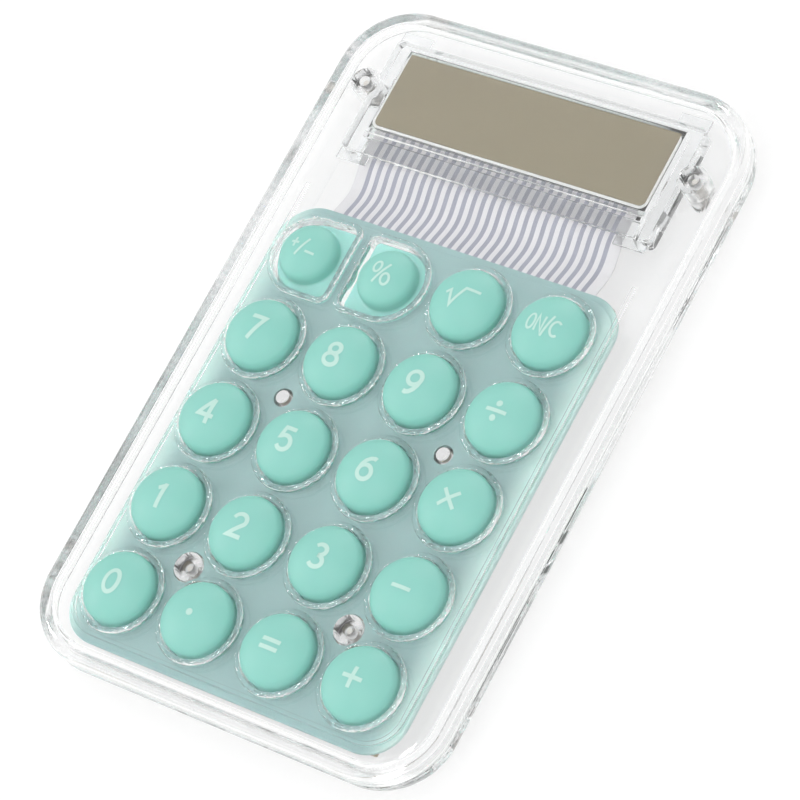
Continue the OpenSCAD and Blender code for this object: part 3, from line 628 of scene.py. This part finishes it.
def build_back_cover():
    edge = CORNER_R - BOTTOM_EDGE_R
    inner = CORNER_R - WALL
    inner_fillet = BOTTOM_EDGE_R - FLOOR_T
    profile = [(edge - CAP_IN, 0)] + arc(edge, BOTTOM_EDGE_R, BOTTOM_EDGE_R, -90, 0, 40)
    profile += [(CORNER_R, PART_H - PART_EASE_H), (CORNER_R - PART_EASE_W, PART_H)]
    tongue_top = PART_H + TONGUE_H
    profile += [(inner + TONGUE_T, PART_H), (inner + TONGUE_T, tongue_top), (inner, tongue_top)]
    profile += arc(inner - inner_fillet, FLOOR_T + inner_fillet, inner_fillet, 0, -90, 30)
    profile += [(inner - inner_fillet - CAP_IN, FLOOR_T)]
    cover = skin("back_shell", [case_loop(r, z) for r, z in profile])
    foot = FLOOR_T / 2
    added, cut = [], []
    for x, y in BOSS_SPOTS:
        added.append(turned("post", [(BOSS_R, foot), (BOSS_R, PART_H)], x, y, 40))
        cut.append(turned("clearance", [(CLEAR_R, 0.5), (CLEAR_R, PART_H + 1)], x, y, 32))
        sink = [(SCREW_HEAD_R + HEAD_GAP, z) for z in (-1, SCREW_SINK + SCREW_HEAD_H)]
        cut.append(turned("sink", sink, x, y, 40))
    for x, y in PIN_SPOTS:
        shelf = BOARD_BOTTOM - SEAT
        wide = PIN_R + PIN_SHELF_W
        pin = [(wide, foot), (wide, shelf), (PIN_R, shelf), (PIN_R, COVER_BOTTOM - SEAT)]
        added.append(turned("pin", pin, x, y, 32))
    for side in (-1, 1):
        for x, y, length, top in (
            (BOARD_W / 2 - BOARD_RIB_INSET, BOARD_EDGE - BOARD_L + BOARD_RIB_SHORT,
             BOARD_L - 2 * BOARD_RIB_SHORT, BOARD_BOTTOM - SEAT),
            (GLASS_W / 2 - GLASS_RIB_INSET, GLASS_Y, GLASS_H, GLASS_RIB_TOP),
        ):
            low = (side * x - RIB_W / 2, y, foot)
            added.append(box_object("rib", low, (low[0] + RIB_W, y + length, top)))
    well_r, well_top = CELL_HOLE_R + WELL_WALL, CELL_Z + CELL_H - WELL_DROP
    added.append(turned("well", [(well_r, foot), (well_r, well_top)], 0, CELL_Y))
    door_post = [(DOOR_POST_R, foot), (DOOR_POST_R, DOOR_POST_TOP)]
    added.append(turned("door_post", door_post, 0, DOOR_SCREW_Y, 40))
    w, l, r = DOOR_W + 2 * DOOR_GAP, DOOR_L + 2 * DOOR_GAP, DOOR_R + DOOR_GAP
    cut.append(skin("pocket", [rounded_loop(w, l, r, z, DOOR_Y) for z in (-1, CELL_Z)]))
    cut.append(turned("cell_hole", [(CELL_HOLE_R, 0.5), (CELL_HOLE_R, BODY_T)], 0, CELL_Y))
    cut.append(turned("door_bore", [(PILOT_R, 0.5), (PILOT_R, DOOR_BORE_TOP)], 0, DOOR_SCREW_Y, 32))
    slot_y = CELL_Y + CELL_R - 1
    cut.append(box_object("slot", (-CELL_R / 2, slot_y, FLOOR_T), (CELL_R / 2, slot_y + SLOT_L, BODY_T)))
    cover = carve(cover, added, "UNION")
    cover = carve(cover, cut, "DIFFERENCE")
    return finish_mesh(cover, CASE, 0.2)


def place(piece, node, body="case"):
    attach(piece, body)
    if node:
        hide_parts(node)
    return piece


place(build_front_cover(), "front_cover")
place(build_back_cover(), "back_cover")

# ---- silicone keys and mat ----


def dome_profile():
    """Half section of a round key from the middle of its foot to its crown."""
    crown_z = BODY_T + DOME_H - CROWN_R
    shoulder_x = KEY_R - SHOULDER_R
    shoulder_z = crown_z + math.sqrt((CROWN_R - SHOULDER_R) ** 2 - shoulder_x ** 2)
    tilt = math.degrees(math.atan2(shoulder_z - crown_z, shoulder_x))
    profile = [(0, FOOT_Z), (FOOT_R, FOOT_Z), (FOOT_R, MAT_TOP)]
    profile += [(KEY_R - FOOT_EASE, MAT_TOP), (KEY_R, MAT_TOP + FOOT_EASE)]
    profile += arc(shoulder_x, shoulder_z, SHOULDER_R, 0, tilt, 10)
    profile += arc(0, crown_z, CROWN_R, tilt, 90, 16)[1:]
    return profile


def dome_height(radius):
    crown_z = BODY_T + DOME_H - CROWN_R
    return crown_z + math.sqrt(CROWN_R ** 2 - radius ** 2)


def half_dome_height(radius):
    return BODY_T + HALF_DOME_H - HALF_CROWN_R + math.sqrt(HALF_CROWN_R ** 2 - radius ** 2)


def half_dome_section():
    """Section of a small dome from its crown down to the flat part round it."""
    crown_z = BODY_T + HALF_DOME_H - HALF_CROWN_R
    shoulder_x = HALF_DOME_R - SHOULDER_R
    shoulder_z = crown_z + math.sqrt((HALF_CROWN_R - SHOULDER_R) ** 2 - shoulder_x ** 2)
    tilt = math.degrees(math.atan2(shoulder_z - crown_z, shoulder_x))
    section = arc(0, crown_z, HALF_CROWN_R, 89.9, tilt, 16)
    section += arc(shoulder_x, shoulder_z, SHOULDER_R, tilt, 0, 10)[1:]
    blend_x = HALF_DOME_R + HALF_BLEND_R
    return section + arc(blend_x, PLINTH_TOP + HALF_BLEND_R, HALF_BLEND_R, 180, 270, 6)


def build_half_moon_key(side, name):
    x, y = key_spot(0, 0 if side < 0 else 1)
    rays = [Vector((px - x, py - y)).normalized() for px, py, _ in half_moon_loop(side, 0, 0)]

    def ring(radius, z):
        return [(x + v.x * radius, y + v.y * radius, z) for v in rays]

    loops = [ring(radius, z) for radius, z in half_dome_section()]
    outline = arc(-PLINTH_R, PLINTH_TOP - PLINTH_R, PLINTH_R, 90, 0, 6)
    outline += [(0, MAT_TOP + FOOT_EASE), (-FOOT_EASE, MAT_TOP)]
    loops += [half_moon_loop(side, grow, z) for grow, z in outline]
    loops += [ring(FOOT_R, MAT_TOP), ring(FOOT_R, FOOT_Z), ring(0.01, FOOT_Z)]
    return finish_mesh(skin(name, loops), SILICONE, 50)


def bow(cx, cy, rx, ry, start, end, steps=14):
    """Points on a stretched arc, in degrees from start to end."""
    return [(cx + rx * math.cos(a), cy + ry * math.sin(a))
            for a in (math.radians(start + (end - start) * i / steps) for i in range(steps + 1))]


def oval(cx, cy, rx, ry):
    return bow(cx, cy, rx, ry, 0, 360, 32)


LEGEND_H, LEGEND_SINK, LEGEND_STEP, LEGEND_CUTS = 0.015, 0.06, 0.35, 8
SIX = [(0.95, 1.6), (0.55, 1.72), (0.0, 1.55), (-0.55, 1.05), (-0.92, 0.35), (-1.08, -0.6)]
# Centre lines of each legend in millimetres about the middle of its key, and the stroke's width
STROKES = {
    "0": (0.62, [oval(0, 0, 1.1, 1.7)]),
    "1": (0.64, [[(-0.75, 0.95), (0.2, 1.62)], [(0.2, 1.95), (0.2, -1.95)]]),
    "2": (0.64, [bow(0, 0.72, 1.08, 1.0, 170, -28) + [(-1.02, -1.7), (1.2, -1.7)]]),
    "3": (0.64, [bow(-0.05, 0.88, 0.95, 0.84, 150, -90), bow(-0.05, -0.83, 1.1, 0.88, 90, -150)]),
    "4": (0.64, [[(0.5, 1.95), (-1.2, -0.7), (1.35, -0.7)], [(0.5, 1.95), (0.5, -1.95)]]),
    "5": (0.64, [[(1.0, 1.7), (-0.72, 1.7), (-0.92, 0.2)] + bow(-0.04, -0.6, 1.1, 1.1, 130, -150)]),
    "6": (0.64, [SIX, oval(0, -0.62, 1.08, 1.08)]),
    "7": (0.64, [[(-1.2, 1.7), (1.1, 1.7), (-0.4, -1.95)]]),
    "8": (0.64, [oval(0, 0.9, 0.88, 0.82), oval(0, -0.81, 1.1, 0.9)]),
    "9": (0.64, [[(-x, -y) for x, y in SIX], oval(0, 0.62, 1.08, 1.08)]),
    "point": (0.5, [oval(0, 0, 0.26, 0.26)]),
    "divide": (0.55, [[(-1.65, 0), (1.65, 0)], oval(0, 1.15, 0.2, 0.2), oval(0, -1.15, 0.2, 0.2)]),
    "multiply": (0.55, [[(-1.3, -1.3), (1.3, 1.3)], [(-1.3, 1.3), (1.3, -1.3)]]),
    "minus": (0.55, [[(-1.55, 0), (1.55, 0)]]),
    "equals": (0.6, [[(-1.5, 0.6), (1.5, 0.6)], [(-1.5, -0.6), (1.5, -0.6)]]),
    "plus": (0.6, [[(-1.6, 0), (1.6, 0)], [(0, -1.6), (0, 1.6)]]),
    "root": (0.42, [[(-2.6, 0.2), (-1.9, 0.75), (-1.15, -1.5), (0.3, 1.55), (2.6, 1.55)]]),
    "percent": (0.36, [oval(-1.0, 0.75, 0.62, 0.85), oval(1.0, -0.75, 0.62, 0.85),
                       [(-0.85, -1.7), (0.85, 1.7)]]),
    "sign": (0.36, [[(-2.3, 0.45), (-0.9, 0.45)], [(-1.6, -0.3), (-1.6, 1.2)],
                    [(-0.75, -1.5), (0.55, 1.5)], [(0.7, -0.55), (2.2, -0.55)]]),
    "on_clear": (0.34, [oval(-2.05, 0.05, 0.62, 1.15),
                        [(-1.0, -1.2), (-1.0, 1.25), (0.1, -1.2), (0.1, 1.25)],
                        [(0.35, -1.75), (1.15, 1.75)], bow(2.1, -0.05, 0.72, 1.15, 50, 310)]),
}


def stroke_quads(points, width):
    """Four-sided pieces that together draw a line through the points."""
    points = [Vector(p) for p in points]
    loop = (points[0] - points[-1]).length < 1e-6
    ways = [(b - a).normalized() for a, b in zip(points, points[1:])]
    edges = []
    for i, p in enumerate(points):
        before = ways[i - 1] if i or loop else ways[0]
        after = ways[i] if i < len(ways) else (ways[0] if loop else ways[-1])
        mean = (before + after).normalized()
        out = Vector((-mean.y, mean.x)) * width / 2 / max(0.4, mean.dot(before))
        edges.append((p + out, p - out))
    return [(a[0], a[1], b[1], b[0]) for a, b in zip(edges, edges[1:])]


def flat_mark(name):
    """Flat outline mesh of a legend, lying at height zero."""
    bm = bmesh.new()
    width, lines = STROKES[name]
    for points in lines:
        for quad in stroke_quads(points, width):
            bm.faces.new([bm.verts.new((*p, 0)) for p in quad])
    return bm


def build_legend(key, x, y, height):
    """Thin raised ink that follows the dome."""
    bm = flat_mark(key)
    bmesh.ops.remove_doubles(bm, verts=bm.verts, dist=1e-4)
    for axis in (Vector((1, 0, 0)), Vector((0, 1, 0))):
        for i in range(-LEGEND_CUTS, LEGEND_CUTS + 1):
            geom = bm.verts[:] + bm.edges[:] + bm.faces[:]
            spot = axis * (i * LEGEND_STEP)
            bmesh.ops.bisect_plane(bm, geom=geom, plane_co=spot, plane_no=axis, dist=1e-5)
    bmesh.ops.triangulate(bm, faces=bm.faces)
    for face in bm.faces:
        if face.normal.z < 0:
            face.normal_flip()
    top = bm.faces[:]
    out = bmesh.ops.extrude_face_region(bm, geom=top)
    raised = {v for v in out["geom"] if isinstance(v, bmesh.types.BMVert)}
    for v in bm.verts:
        lift = LEGEND_H if v in raised else -LEGEND_SINK
        v.co.z = height(math.hypot(v.co.x, v.co.y)) + lift
        v.co.x += x
        v.co.y += y
    bmesh.ops.recalc_face_normals(bm, faces=bm.faces)
    mesh = bpy.data.meshes.new("legend_" + key)
    bm.to_mesh(mesh)
    bm.free()
    mesh.transform(Matrix.Scale(MM, 4))
    return finish_mesh(add_object("legend_" + key, mesh), LEGEND, 50)


for row, names in enumerate(KEYS):
    for column, key in enumerate(names):
        x, y = key_spot(row, column)
        side = half_moon_side(row, column)
        if side:
            dome = build_half_moon_key(side, "dome_" + key)
            height = half_dome_height
        else:
            dome = finish_mesh(turned("dome_" + key, dome_profile(), x, y), SILICONE, 50)
            height = dome_height
        place(dome, "key_" + key, "button_" + key)
        legend = build_legend(key, x, y, height)
        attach(legend, "button_" + key)


def build_mat():
    step_w, step_l = MAT_W - 2 * MAT_BORDER_W, MAT_L - 4 * MAT_BORDER_W
    step_r = MAT_R - MAT_BORDER_W
    border_top = BOARD_TOP + MAT_BORDER_T
    sizes = [(0, BOARD_TOP)] + arc(-MAT_EASE, border_top - MAT_EASE, MAT_EASE, 0, 90, 3)
    loops = [rounded_loop(MAT_W + 2 * g, MAT_L + 2 * g, MAT_R + g, z, -GRID_DROP) for g, z in sizes]
    rise = [(0, border_top)] + arc(-MAT_EASE, MAT_TOP - MAT_EASE, MAT_EASE, 0, 90, 3)
    loops += [rounded_loop(step_w + 2 * g, step_l + 2 * g, step_r + g, z, -GRID_DROP) for g, z in rise]
    mat = skin("silicone_mat", loops)
    cut = []
    low = BOARD_TOP - 1
    levels = (low, MAT_TOP + 1)
    for row in range(5):
        for column in range(4):
            x, y = key_spot(row, column)
            side = half_moon_side(row, column)
            if side:
                cut.append(skin("hole", [half_moon_loop(side, MAT_GAP, z) for z in levels]))
            else:
                cut.append(turned("hole", [(KEY_R + MAT_GAP, z) for z in levels], x, y, 64))
    for x, y in PIN_SPOTS:
        cut.append(turned("hole", [(PIN_R + PIN_HOLE_GAP, z) for z in levels], x, y, 32))
    for x, y in BOSS_SPOTS[:2]:
        cut.append(turned("hole", [(BOSS_R + BOSS_HOLE_GAP, z) for z in levels], x, y, 40))
    half, front = RIBBON_W / 2 + RELIEF_GAP, BOARD_EDGE - RIBBON_LAP - RELIEF_GAP
    cut.append(box_object("relief", (-half, front, low), (half, MAT_L, BOARD_TOP + RELIEF_H)))
    return finish_mesh(carve(mat, cut, "DIFFERENCE"), MAT)


place(build_mat(), "keypad_mat")

# ---- display, ribbon and board ----


def ribbon_height(share):
    """Height of the ribbon's underside along its run, 0 at the display and 1 at the board."""
    fall = (BOARD_TOP - LOWER_GLASS_TOP) * (3 * share ** 2 - 2 * share ** 3)
    return LOWER_GLASS_TOP + fall - RIBBON_SAG * math.sin(math.pi * share) ** 2


def ribbon_path(steps=56):
    reach = BOARD_EDGE - BAR_FRONT
    run = [(BAR_FRONT + reach * i / steps, ribbon_height(i / steps)) for i in range(steps + 1)]
    return [(GLASS_Y - SEAT, LOWER_GLASS_TOP)] + run + [(BOARD_EDGE - RIBBON_LAP, BOARD_TOP)]


def strip_along_ribbon(name, x0, x1, low, high):
    """Strip between two sides that follows the ribbon, from low to high above its underside."""
    loops = []
    for y, z in ribbon_path():
        loops.append([(x0, y, z + low), (x1, y, z + low), (x1, y, z + high), (x0, y, z + high)])
    return skin(name, loops)


def copies_along(name, seed_object, count, start, step, material):
    """Repeats one object along a line with Geometry Nodes and returns a plain mesh."""
    tree = bpy.data.node_groups.new(name, "GeometryNodeTree")
    tree.interface.new_socket("Geometry", in_out="INPUT", socket_type="NodeSocketGeometry")
    values = {
        "Count": ("NodeSocketInt", count),
        "Start": ("NodeSocketVector", tuple(c * MM for c in start)),
        "Step": ("NodeSocketVector", tuple(c * MM for c in step)),
    }
    sockets = {}
    for label, (kind, _) in values.items():
        sockets[label] = tree.interface.new_socket(label, in_out="INPUT", socket_type=kind)
    tree.interface.new_socket("Geometry", in_out="OUTPUT", socket_type="NodeSocketGeometry")
    nodes, links = tree.nodes, tree.links
    start_node, end_node = nodes.new("NodeGroupInput"), nodes.new("NodeGroupOutput")
    line = nodes.new("GeometryNodeMeshLine")
    spread = nodes.new("GeometryNodeInstanceOnPoints")
    real = nodes.new("GeometryNodeRealizeInstances")
    paint = nodes.new("GeometryNodeSetMaterial")
    paint.inputs["Material"].default_value = material
    links.new(start_node.outputs["Count"], line.inputs["Count"])
    links.new(start_node.outputs["Start"], line.inputs["Start Location"])
    links.new(start_node.outputs["Step"], line.inputs["Offset"])
    links.new(line.outputs["Mesh"], spread.inputs["Points"])
    links.new(start_node.outputs["Geometry"], spread.inputs["Instance"])
    links.new(spread.outputs["Instances"], real.inputs["Geometry"])
    links.new(real.outputs["Geometry"], paint.inputs["Geometry"])
    links.new(paint.outputs["Geometry"], end_node.inputs["Geometry"])
    maker = seed_object.modifiers.new(name, "NODES")
    maker.node_group = tree
    for label, (_, value) in values.items():
        maker[sockets[label].identifier] = value
    return finish_mesh(plain_mesh(seed_object, name), material, 40)


ribbon = strip_along_ribbon("ribbon_film", -RIBBON_W / 2, RIBBON_W / 2, 0, RIBBON_T)
place(finish_mesh(ribbon, FILM, 40), "ribbon_cable")
line = strip_along_ribbon("ribbon_line", -LINE_W / 2, LINE_W / 2, RIBBON_T, RIBBON_T + LINE_H)
lines = copies_along("ribbon_lines", line, LINE_COUNT, (-LINE_STEP * (LINE_COUNT - 1) / 2, 0, 0),
                     (LINE_STEP, 0, 0), TRACE)
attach(lines, "case")

# ---- screws, cell and chip ----


THREAD_CORE_R, THREAD_PITCH, CROSS_L, CROSS_W = SCREW_R * 0.78, 0.6, 0.95, 0.18


def build_screw(name, z, head_h, length, cross_h):
    """Screw standing on its head: cross recess, pan head, thread and blunt point."""
    top = head_h + length
    rings = [(0, 0), (SCREW_HEAD_R - 0.2, 0), (SCREW_HEAD_R - 0.05, 0.08), (SCREW_HEAD_R, 0.22),
             (SCREW_HEAD_R, head_h), (THREAD_CORE_R, head_h)]
    for i in range(int((length - SCREW_R) / THREAD_PITCH)):
        base = head_h + 0.1 + i * THREAD_PITCH
        rings += [(THREAD_CORE_R, base), (SCREW_R, base + 0.22),
                  (SCREW_R, base + 0.3), (THREAD_CORE_R, base + 0.52)]
    rings += [(THREAD_CORE_R, top - SCREW_R), (SCREW_R / 2, top), (0, top)]
    screw = turned(name, [(r, z + h) for r, h in rings], count=28)
    cross = [box_object("slot", (-x, -y, z - 1), (x, y, z + cross_h))
             for x, y in ((CROSS_L, CROSS_W), (CROSS_W, CROSS_L))]
    return carve(screw, cross, "DIFFERENCE")


def spread_on(name, seed_object, spots, material):
    """One piece that has a copy of an object at each spot."""
    bm = bmesh.new()
    for x, y in spots:
        copy = seed_object.data.copy()
        copy.transform(Matrix.Translation((x * MM, y * MM, 0)))
        bm.from_mesh(copy)
    out = bpy.data.meshes.new(name)
    bm.to_mesh(out)
    bm.free()
    bpy.data.objects.remove(seed_object)
    return finish_mesh(add_object(name, out), material, 35)


case_screw = build_screw("case_screw", SCREW_SINK, SCREW_HEAD_H, SCREW_L, 0.55)
place(spread_on("case_screw_set", case_screw, BOSS_SPOTS, STEEL), "case_screws")
door_screw = build_screw("door_fixing", SEAT, 0.45, 3.0, 0.3)
place(spread_on("door_screw_set", door_screw, [(0, DOOR_SCREW_Y)], STEEL), "door_screw")


def build_cell():
    """Button cell: a can with an eased foot, its crimp, and the smaller cap above it."""
    top = CELL_Z + CELL_H
    can = CELL_H - 0.25
    section = [(0, CELL_Z), (CELL_R - 0.3, CELL_Z), (CELL_R - 0.08, CELL_Z + 0.08),
               (CELL_R, CELL_Z + 0.3), (CELL_R, CELL_Z + can - 0.2),
               (CELL_R - 0.1, CELL_Z + can - 0.05), (CELL_R - 0.3, CELL_Z + can),
               (CELL_R - 1.2, CELL_Z + can), (CELL_R - 1.3, top - 0.1), (CELL_R - 1.5, top), (0, top)]
    return finish_mesh(turned("cell", section, 0, CELL_Y, 72), CELL, 35)


def build_chip():
    """Drop of resin under the board, part of a ball."""
    ball = (CHIP_R ** 2 + CHIP_H ** 2) / (2 * CHIP_H)
    reach = math.degrees(math.asin(CHIP_R / ball))
    section = [(0, BOARD_BOTTOM)] + arc(0, BOARD_BOTTOM - CHIP_H + ball, ball, -90 + reach, -90, 16)
    return finish_mesh(turned("resin_drop", section, 0, CHIP_Y, 48), RESIN, 50)


def bevelled(obj, width, material, segments=2):
    """Breaks a piece's sharp edges, as moulding and grinding leave them."""
    ease = obj.modifiers.new("ease", "BEVEL")
    ease.width = width * MM
    ease.segments = segments
    ease.limit_method = "ANGLE"
    ease.angle_limit = math.radians(40)
    return finish_mesh(plain_mesh(obj, obj.name), material, 30)


def copy_of(node, name):
    """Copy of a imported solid's mesh with its flat faces whole again."""
    source = frame["nodes"][node]
    mesh = source.data.copy()
    mesh.transform(source.matrix_world)
    bm = bmesh.new()
    bm.from_mesh(mesh)
    bmesh.ops.remove_doubles(bm, verts=bm.verts, dist=2e-6)
    bmesh.ops.dissolve_limit(bm, angle_limit=math.radians(1), verts=bm.verts, edges=bm.edges)
    bm.to_mesh(mesh)
    bm.free()
    mesh.materials.clear()
    return add_object(name, mesh)


def build_bead():
    """Pale seal bead round the display film, on top of the upper glass; its white is partly a painted
    highlight along the display's edges.
    """
    film_w, film_l = GLASS_W - 2 * FILM_INSET, GLASS_H - 2 * FILM_INSET
    film_y = GLASS_Y + GLASS_H / 2
    ease_w, ease_h = BEAD_EASE
    section = ((FILM_LAP, BEAD_LOW), (BEAD_W, BEAD_LOW), (BEAD_W, BEAD_HIGH - ease_h),
               (BEAD_W - ease_w, BEAD_HIGH), (FILM_LAP, BEAD_HIGH))
    loops = []
    for grow, z in section:
        loops.append(rounded_loop(film_w + 2 * grow, film_l + grow + 0.1, FILM_R + grow,
                                  UPPER_GLASS_TOP + z, film_y - grow / 2 + 0.05))
    return finish_mesh(skin("film_bead_and_painted_highlight", loops, closed=True), SEAL_AND_PAINTED_HIGHLIGHT, 30)


half = GLASS_W / 2
for name, node, low, high in (
    ("upper_glass", "display_upper_glass", (-half, GLASS_Y, LOWER_GLASS_TOP + HAIR),
     (half, GLASS_Y + GLASS_H, UPPER_GLASS_TOP)),
    ("lower_glass", "display_lower_glass", (-half, GLASS_Y - LEDGE_L, LOWER_GLASS_TOP - GLASS_T),
     (half, GLASS_Y + GLASS_H, LOWER_GLASS_TOP)),
):
    place(bevelled(box_object(name, low, high), 0.05, GLASS), node)
bead = build_bead()
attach(bead, "case")
place(bevelled(copy_of("display_holder", "holder"), 0.12, FRAME, 3), "display_holder")
place(build_cell(), "button_cell")
place(build_chip(), "chip_blob")

for node, material in (
    ("battery_door", CASE), ("circuit_board", BOARD), ("contact_pads", CARBON),
    ("capacitor", CERAMIC), ("resistors", RESISTOR), ("cell_clip", STRIP), ("cell_spring", STRIP),
    ("display_polariser", POLARISER), ("display_reflector", REFLECTOR),
):
    mesh = frame["nodes"][node].data
    for i in range(max(1, len(mesh.materials))):
        if mesh.materials:
            mesh.materials[i] = material
        else:
            mesh.materials.append(material)

# ---- studio ----


def seen_directly(tree):
    """1 for rays from the camera, a mirror or clear plastic, so that all three see the backdrop."""
    path = tree.nodes.new("ShaderNodeLightPath").outputs
    seen = maths(tree, "MAXIMUM", path["Is Camera Ray"], path["Is Glossy Ray"])
    return maths(tree, "MAXIMUM", seen, path["Is Transmission Ray"])


FLOOR_HALF, FLOOR_Z = 3000.0, -0.02


def build_floor():
    corners = ((-1, -1), (1, -1), (1, 1), (-1, 1))
    points = [(x * FLOOR_HALF, y * FLOOR_HALF, FLOOR_Z) for x, y in corners]
    floor = mesh_object("floor", points, [(0, 1, 2, 3)])
    material, tree, shader = new_material("floor_white")
    set_values(shader, Base_Color=(0.88, 0.88, 0.88, 1), Roughness=0.9, Specular_IOR_Level=0.0)
    seen = tree.nodes.new("ShaderNodeBsdfDiffuse")
    seen.inputs["Color"].default_value = (0.34, 0.34, 0.34, 1)
    glow = tree.nodes.new("ShaderNodeEmission")
    glow.inputs["Strength"].default_value = 0.72
    both, choose = tree.nodes.new("ShaderNodeAddShader"), tree.nodes.new("ShaderNodeMixShader")
    tree.links.new(seen.outputs[0], both.inputs[0])
    tree.links.new(glow.outputs[0], both.inputs[1])
    tree.links.new(seen_directly(tree), choose.inputs[0])
    tree.links.new(shader.outputs[0], choose.inputs[1])
    tree.links.new(both.outputs[0], choose.inputs[2])
    tree.links.new(choose.outputs[0], tree.nodes["Material Output"].inputs["Surface"])
    floor.data.materials.append(material)
    floor.data.validate()
    if floor.data.polygons[0].normal.z < 0:
        floor.data.flip_normals()
    return floor


BRIGHT_SIDE = (-0.62, 0.28, 0.73)
HORIZON, HORIZON_DARK = (0.0, 0.2), 0.45


def build_world():
    """Sky that is brighter on one side and darker at the horizon, and plain white behind the object."""
    world = bpy.data.worlds.new("studio")
    scene.world = world
    world.use_nodes = True
    tree = world.node_tree
    nodes, links = tree.nodes, tree.links
    back = nodes["Background"]
    where = nodes.new("ShaderNodeTexCoord")
    facing = nodes.new("ShaderNodeVectorMath")
    facing.operation = "DOT_PRODUCT"
    facing.inputs[1].default_value = Vector(BRIGHT_SIDE).normalized()
    ramp = nodes.new("ShaderNodeValToRGB")
    shift = nodes.new("ShaderNodeMapRange")
    shift.inputs["From Min"].default_value = -1.0
    links.new(where.outputs["Generated"], facing.inputs[0])
    links.new(facing.outputs["Value"], shift.inputs["Value"])
    links.new(shift.outputs["Result"], ramp.inputs[0])
    ramp.color_ramp.interpolation = "EASE"
    stops = ramp.color_ramp.elements
    stops[0].position, stops[0].color = 0.25, (0.80, 0.80, 0.81, 1)
    stops[1].position, stops[1].color = 1.0, (1.04, 1.04, 1.03, 1)
    middle = stops.new(0.55)
    middle.color = (0.88, 0.88, 0.88, 1)
    level = nodes.new("ShaderNodeMapRange")
    links.new(axes(tree, where.outputs["Generated"])["Z"], level.inputs["Value"])
    level.interpolation_type = "SMOOTHSTEP"
    level.inputs["From Min"].default_value, level.inputs["From Max"].default_value = HORIZON
    level.inputs["To Min"].default_value = HORIZON_DARK
    shade = nodes.new("ShaderNodeVectorMath")
    shade.operation = "SCALE"
    links.new(ramp.outputs[0], shade.inputs[0])
    links.new(level.outputs["Result"], shade.inputs["Scale"])
    path = nodes.new("ShaderNodeLightPath")
    sky = blend(tree, path.outputs["Is Camera Ray"], shade.outputs[0], (1, 1, 1))
    links.new(sky, back.inputs["Color"])
    back.inputs["Strength"].default_value = 1.0


def build_lamp(name, at, size, power, glint=False):
    """Square lamp facing the middle; a glint lamp is seen only in mirroring surfaces."""
    light = bpy.data.lights.new(name, "AREA")
    light.shape = "SQUARE"
    light.size = size
    light.energy = power
    obj = add_object(name, light)
    obj.location = at
    obj.rotation_euler = (Vector((0, 0, 0)) - Vector(at)).to_track_quat("-Z", "Y").to_euler()
    obj.visible_diffuse = obj.visible_transmission = not glint


# where the camera stands, in key pitches from the middle of the keys
CAMERA_AT = (20.6463596, -9.17366589, 31.71134318)
CAMERA_RIGHT = (0.80485376, 0.46451152, -0.36937714)
CAMERA_DOWN = (0.28279964, -0.84737763, -0.44941686)
CAMERA_AHEAD = (-0.52176123, 0.25725513, -0.81337876)


def build_camera():
    camera = bpy.data.cameras.new("camera")
    camera.sensor_width = 36.0
    camera.lens = 176.29
    camera.clip_start = 0.01
    turn = Matrix((Vector(CAMERA_RIGHT), -Vector(CAMERA_DOWN), -Vector(CAMERA_AHEAD))).transposed()
    x, y, z = CAMERA_AT
    spot = Vector((x * PITCH, y * PITCH - GRID_DROP, BODY_T + z * PITCH)) * MM
    obj = add_object("camera", camera)
    obj.matrix_world = Matrix.Translation(spot) @ turn.to_4x4()
    scene.camera = obj


GLINTS = ((-1.3, -0.51, 0.77), (-0.29, 1.49, 0.5), (0.26, -0.37, 1.51))
BOUNCES = 96                    # light crosses many clear walls
build_floor()
build_world()
build_lamp("key_lamp", (0.1, -1.4, 1.5), 1.0, 6.0)
for i, at in enumerate(GLINTS):
    build_lamp("glint_lamp_%d" % i, at, 0.32, 15.0, glint=True)
build_camera()
scene.view_settings.view_transform = "Standard"
scene.cycles.max_bounces = BOUNCES
scene.cycles.glossy_bounces = BOUNCES
scene.cycles.transmission_bounces = BOUNCES
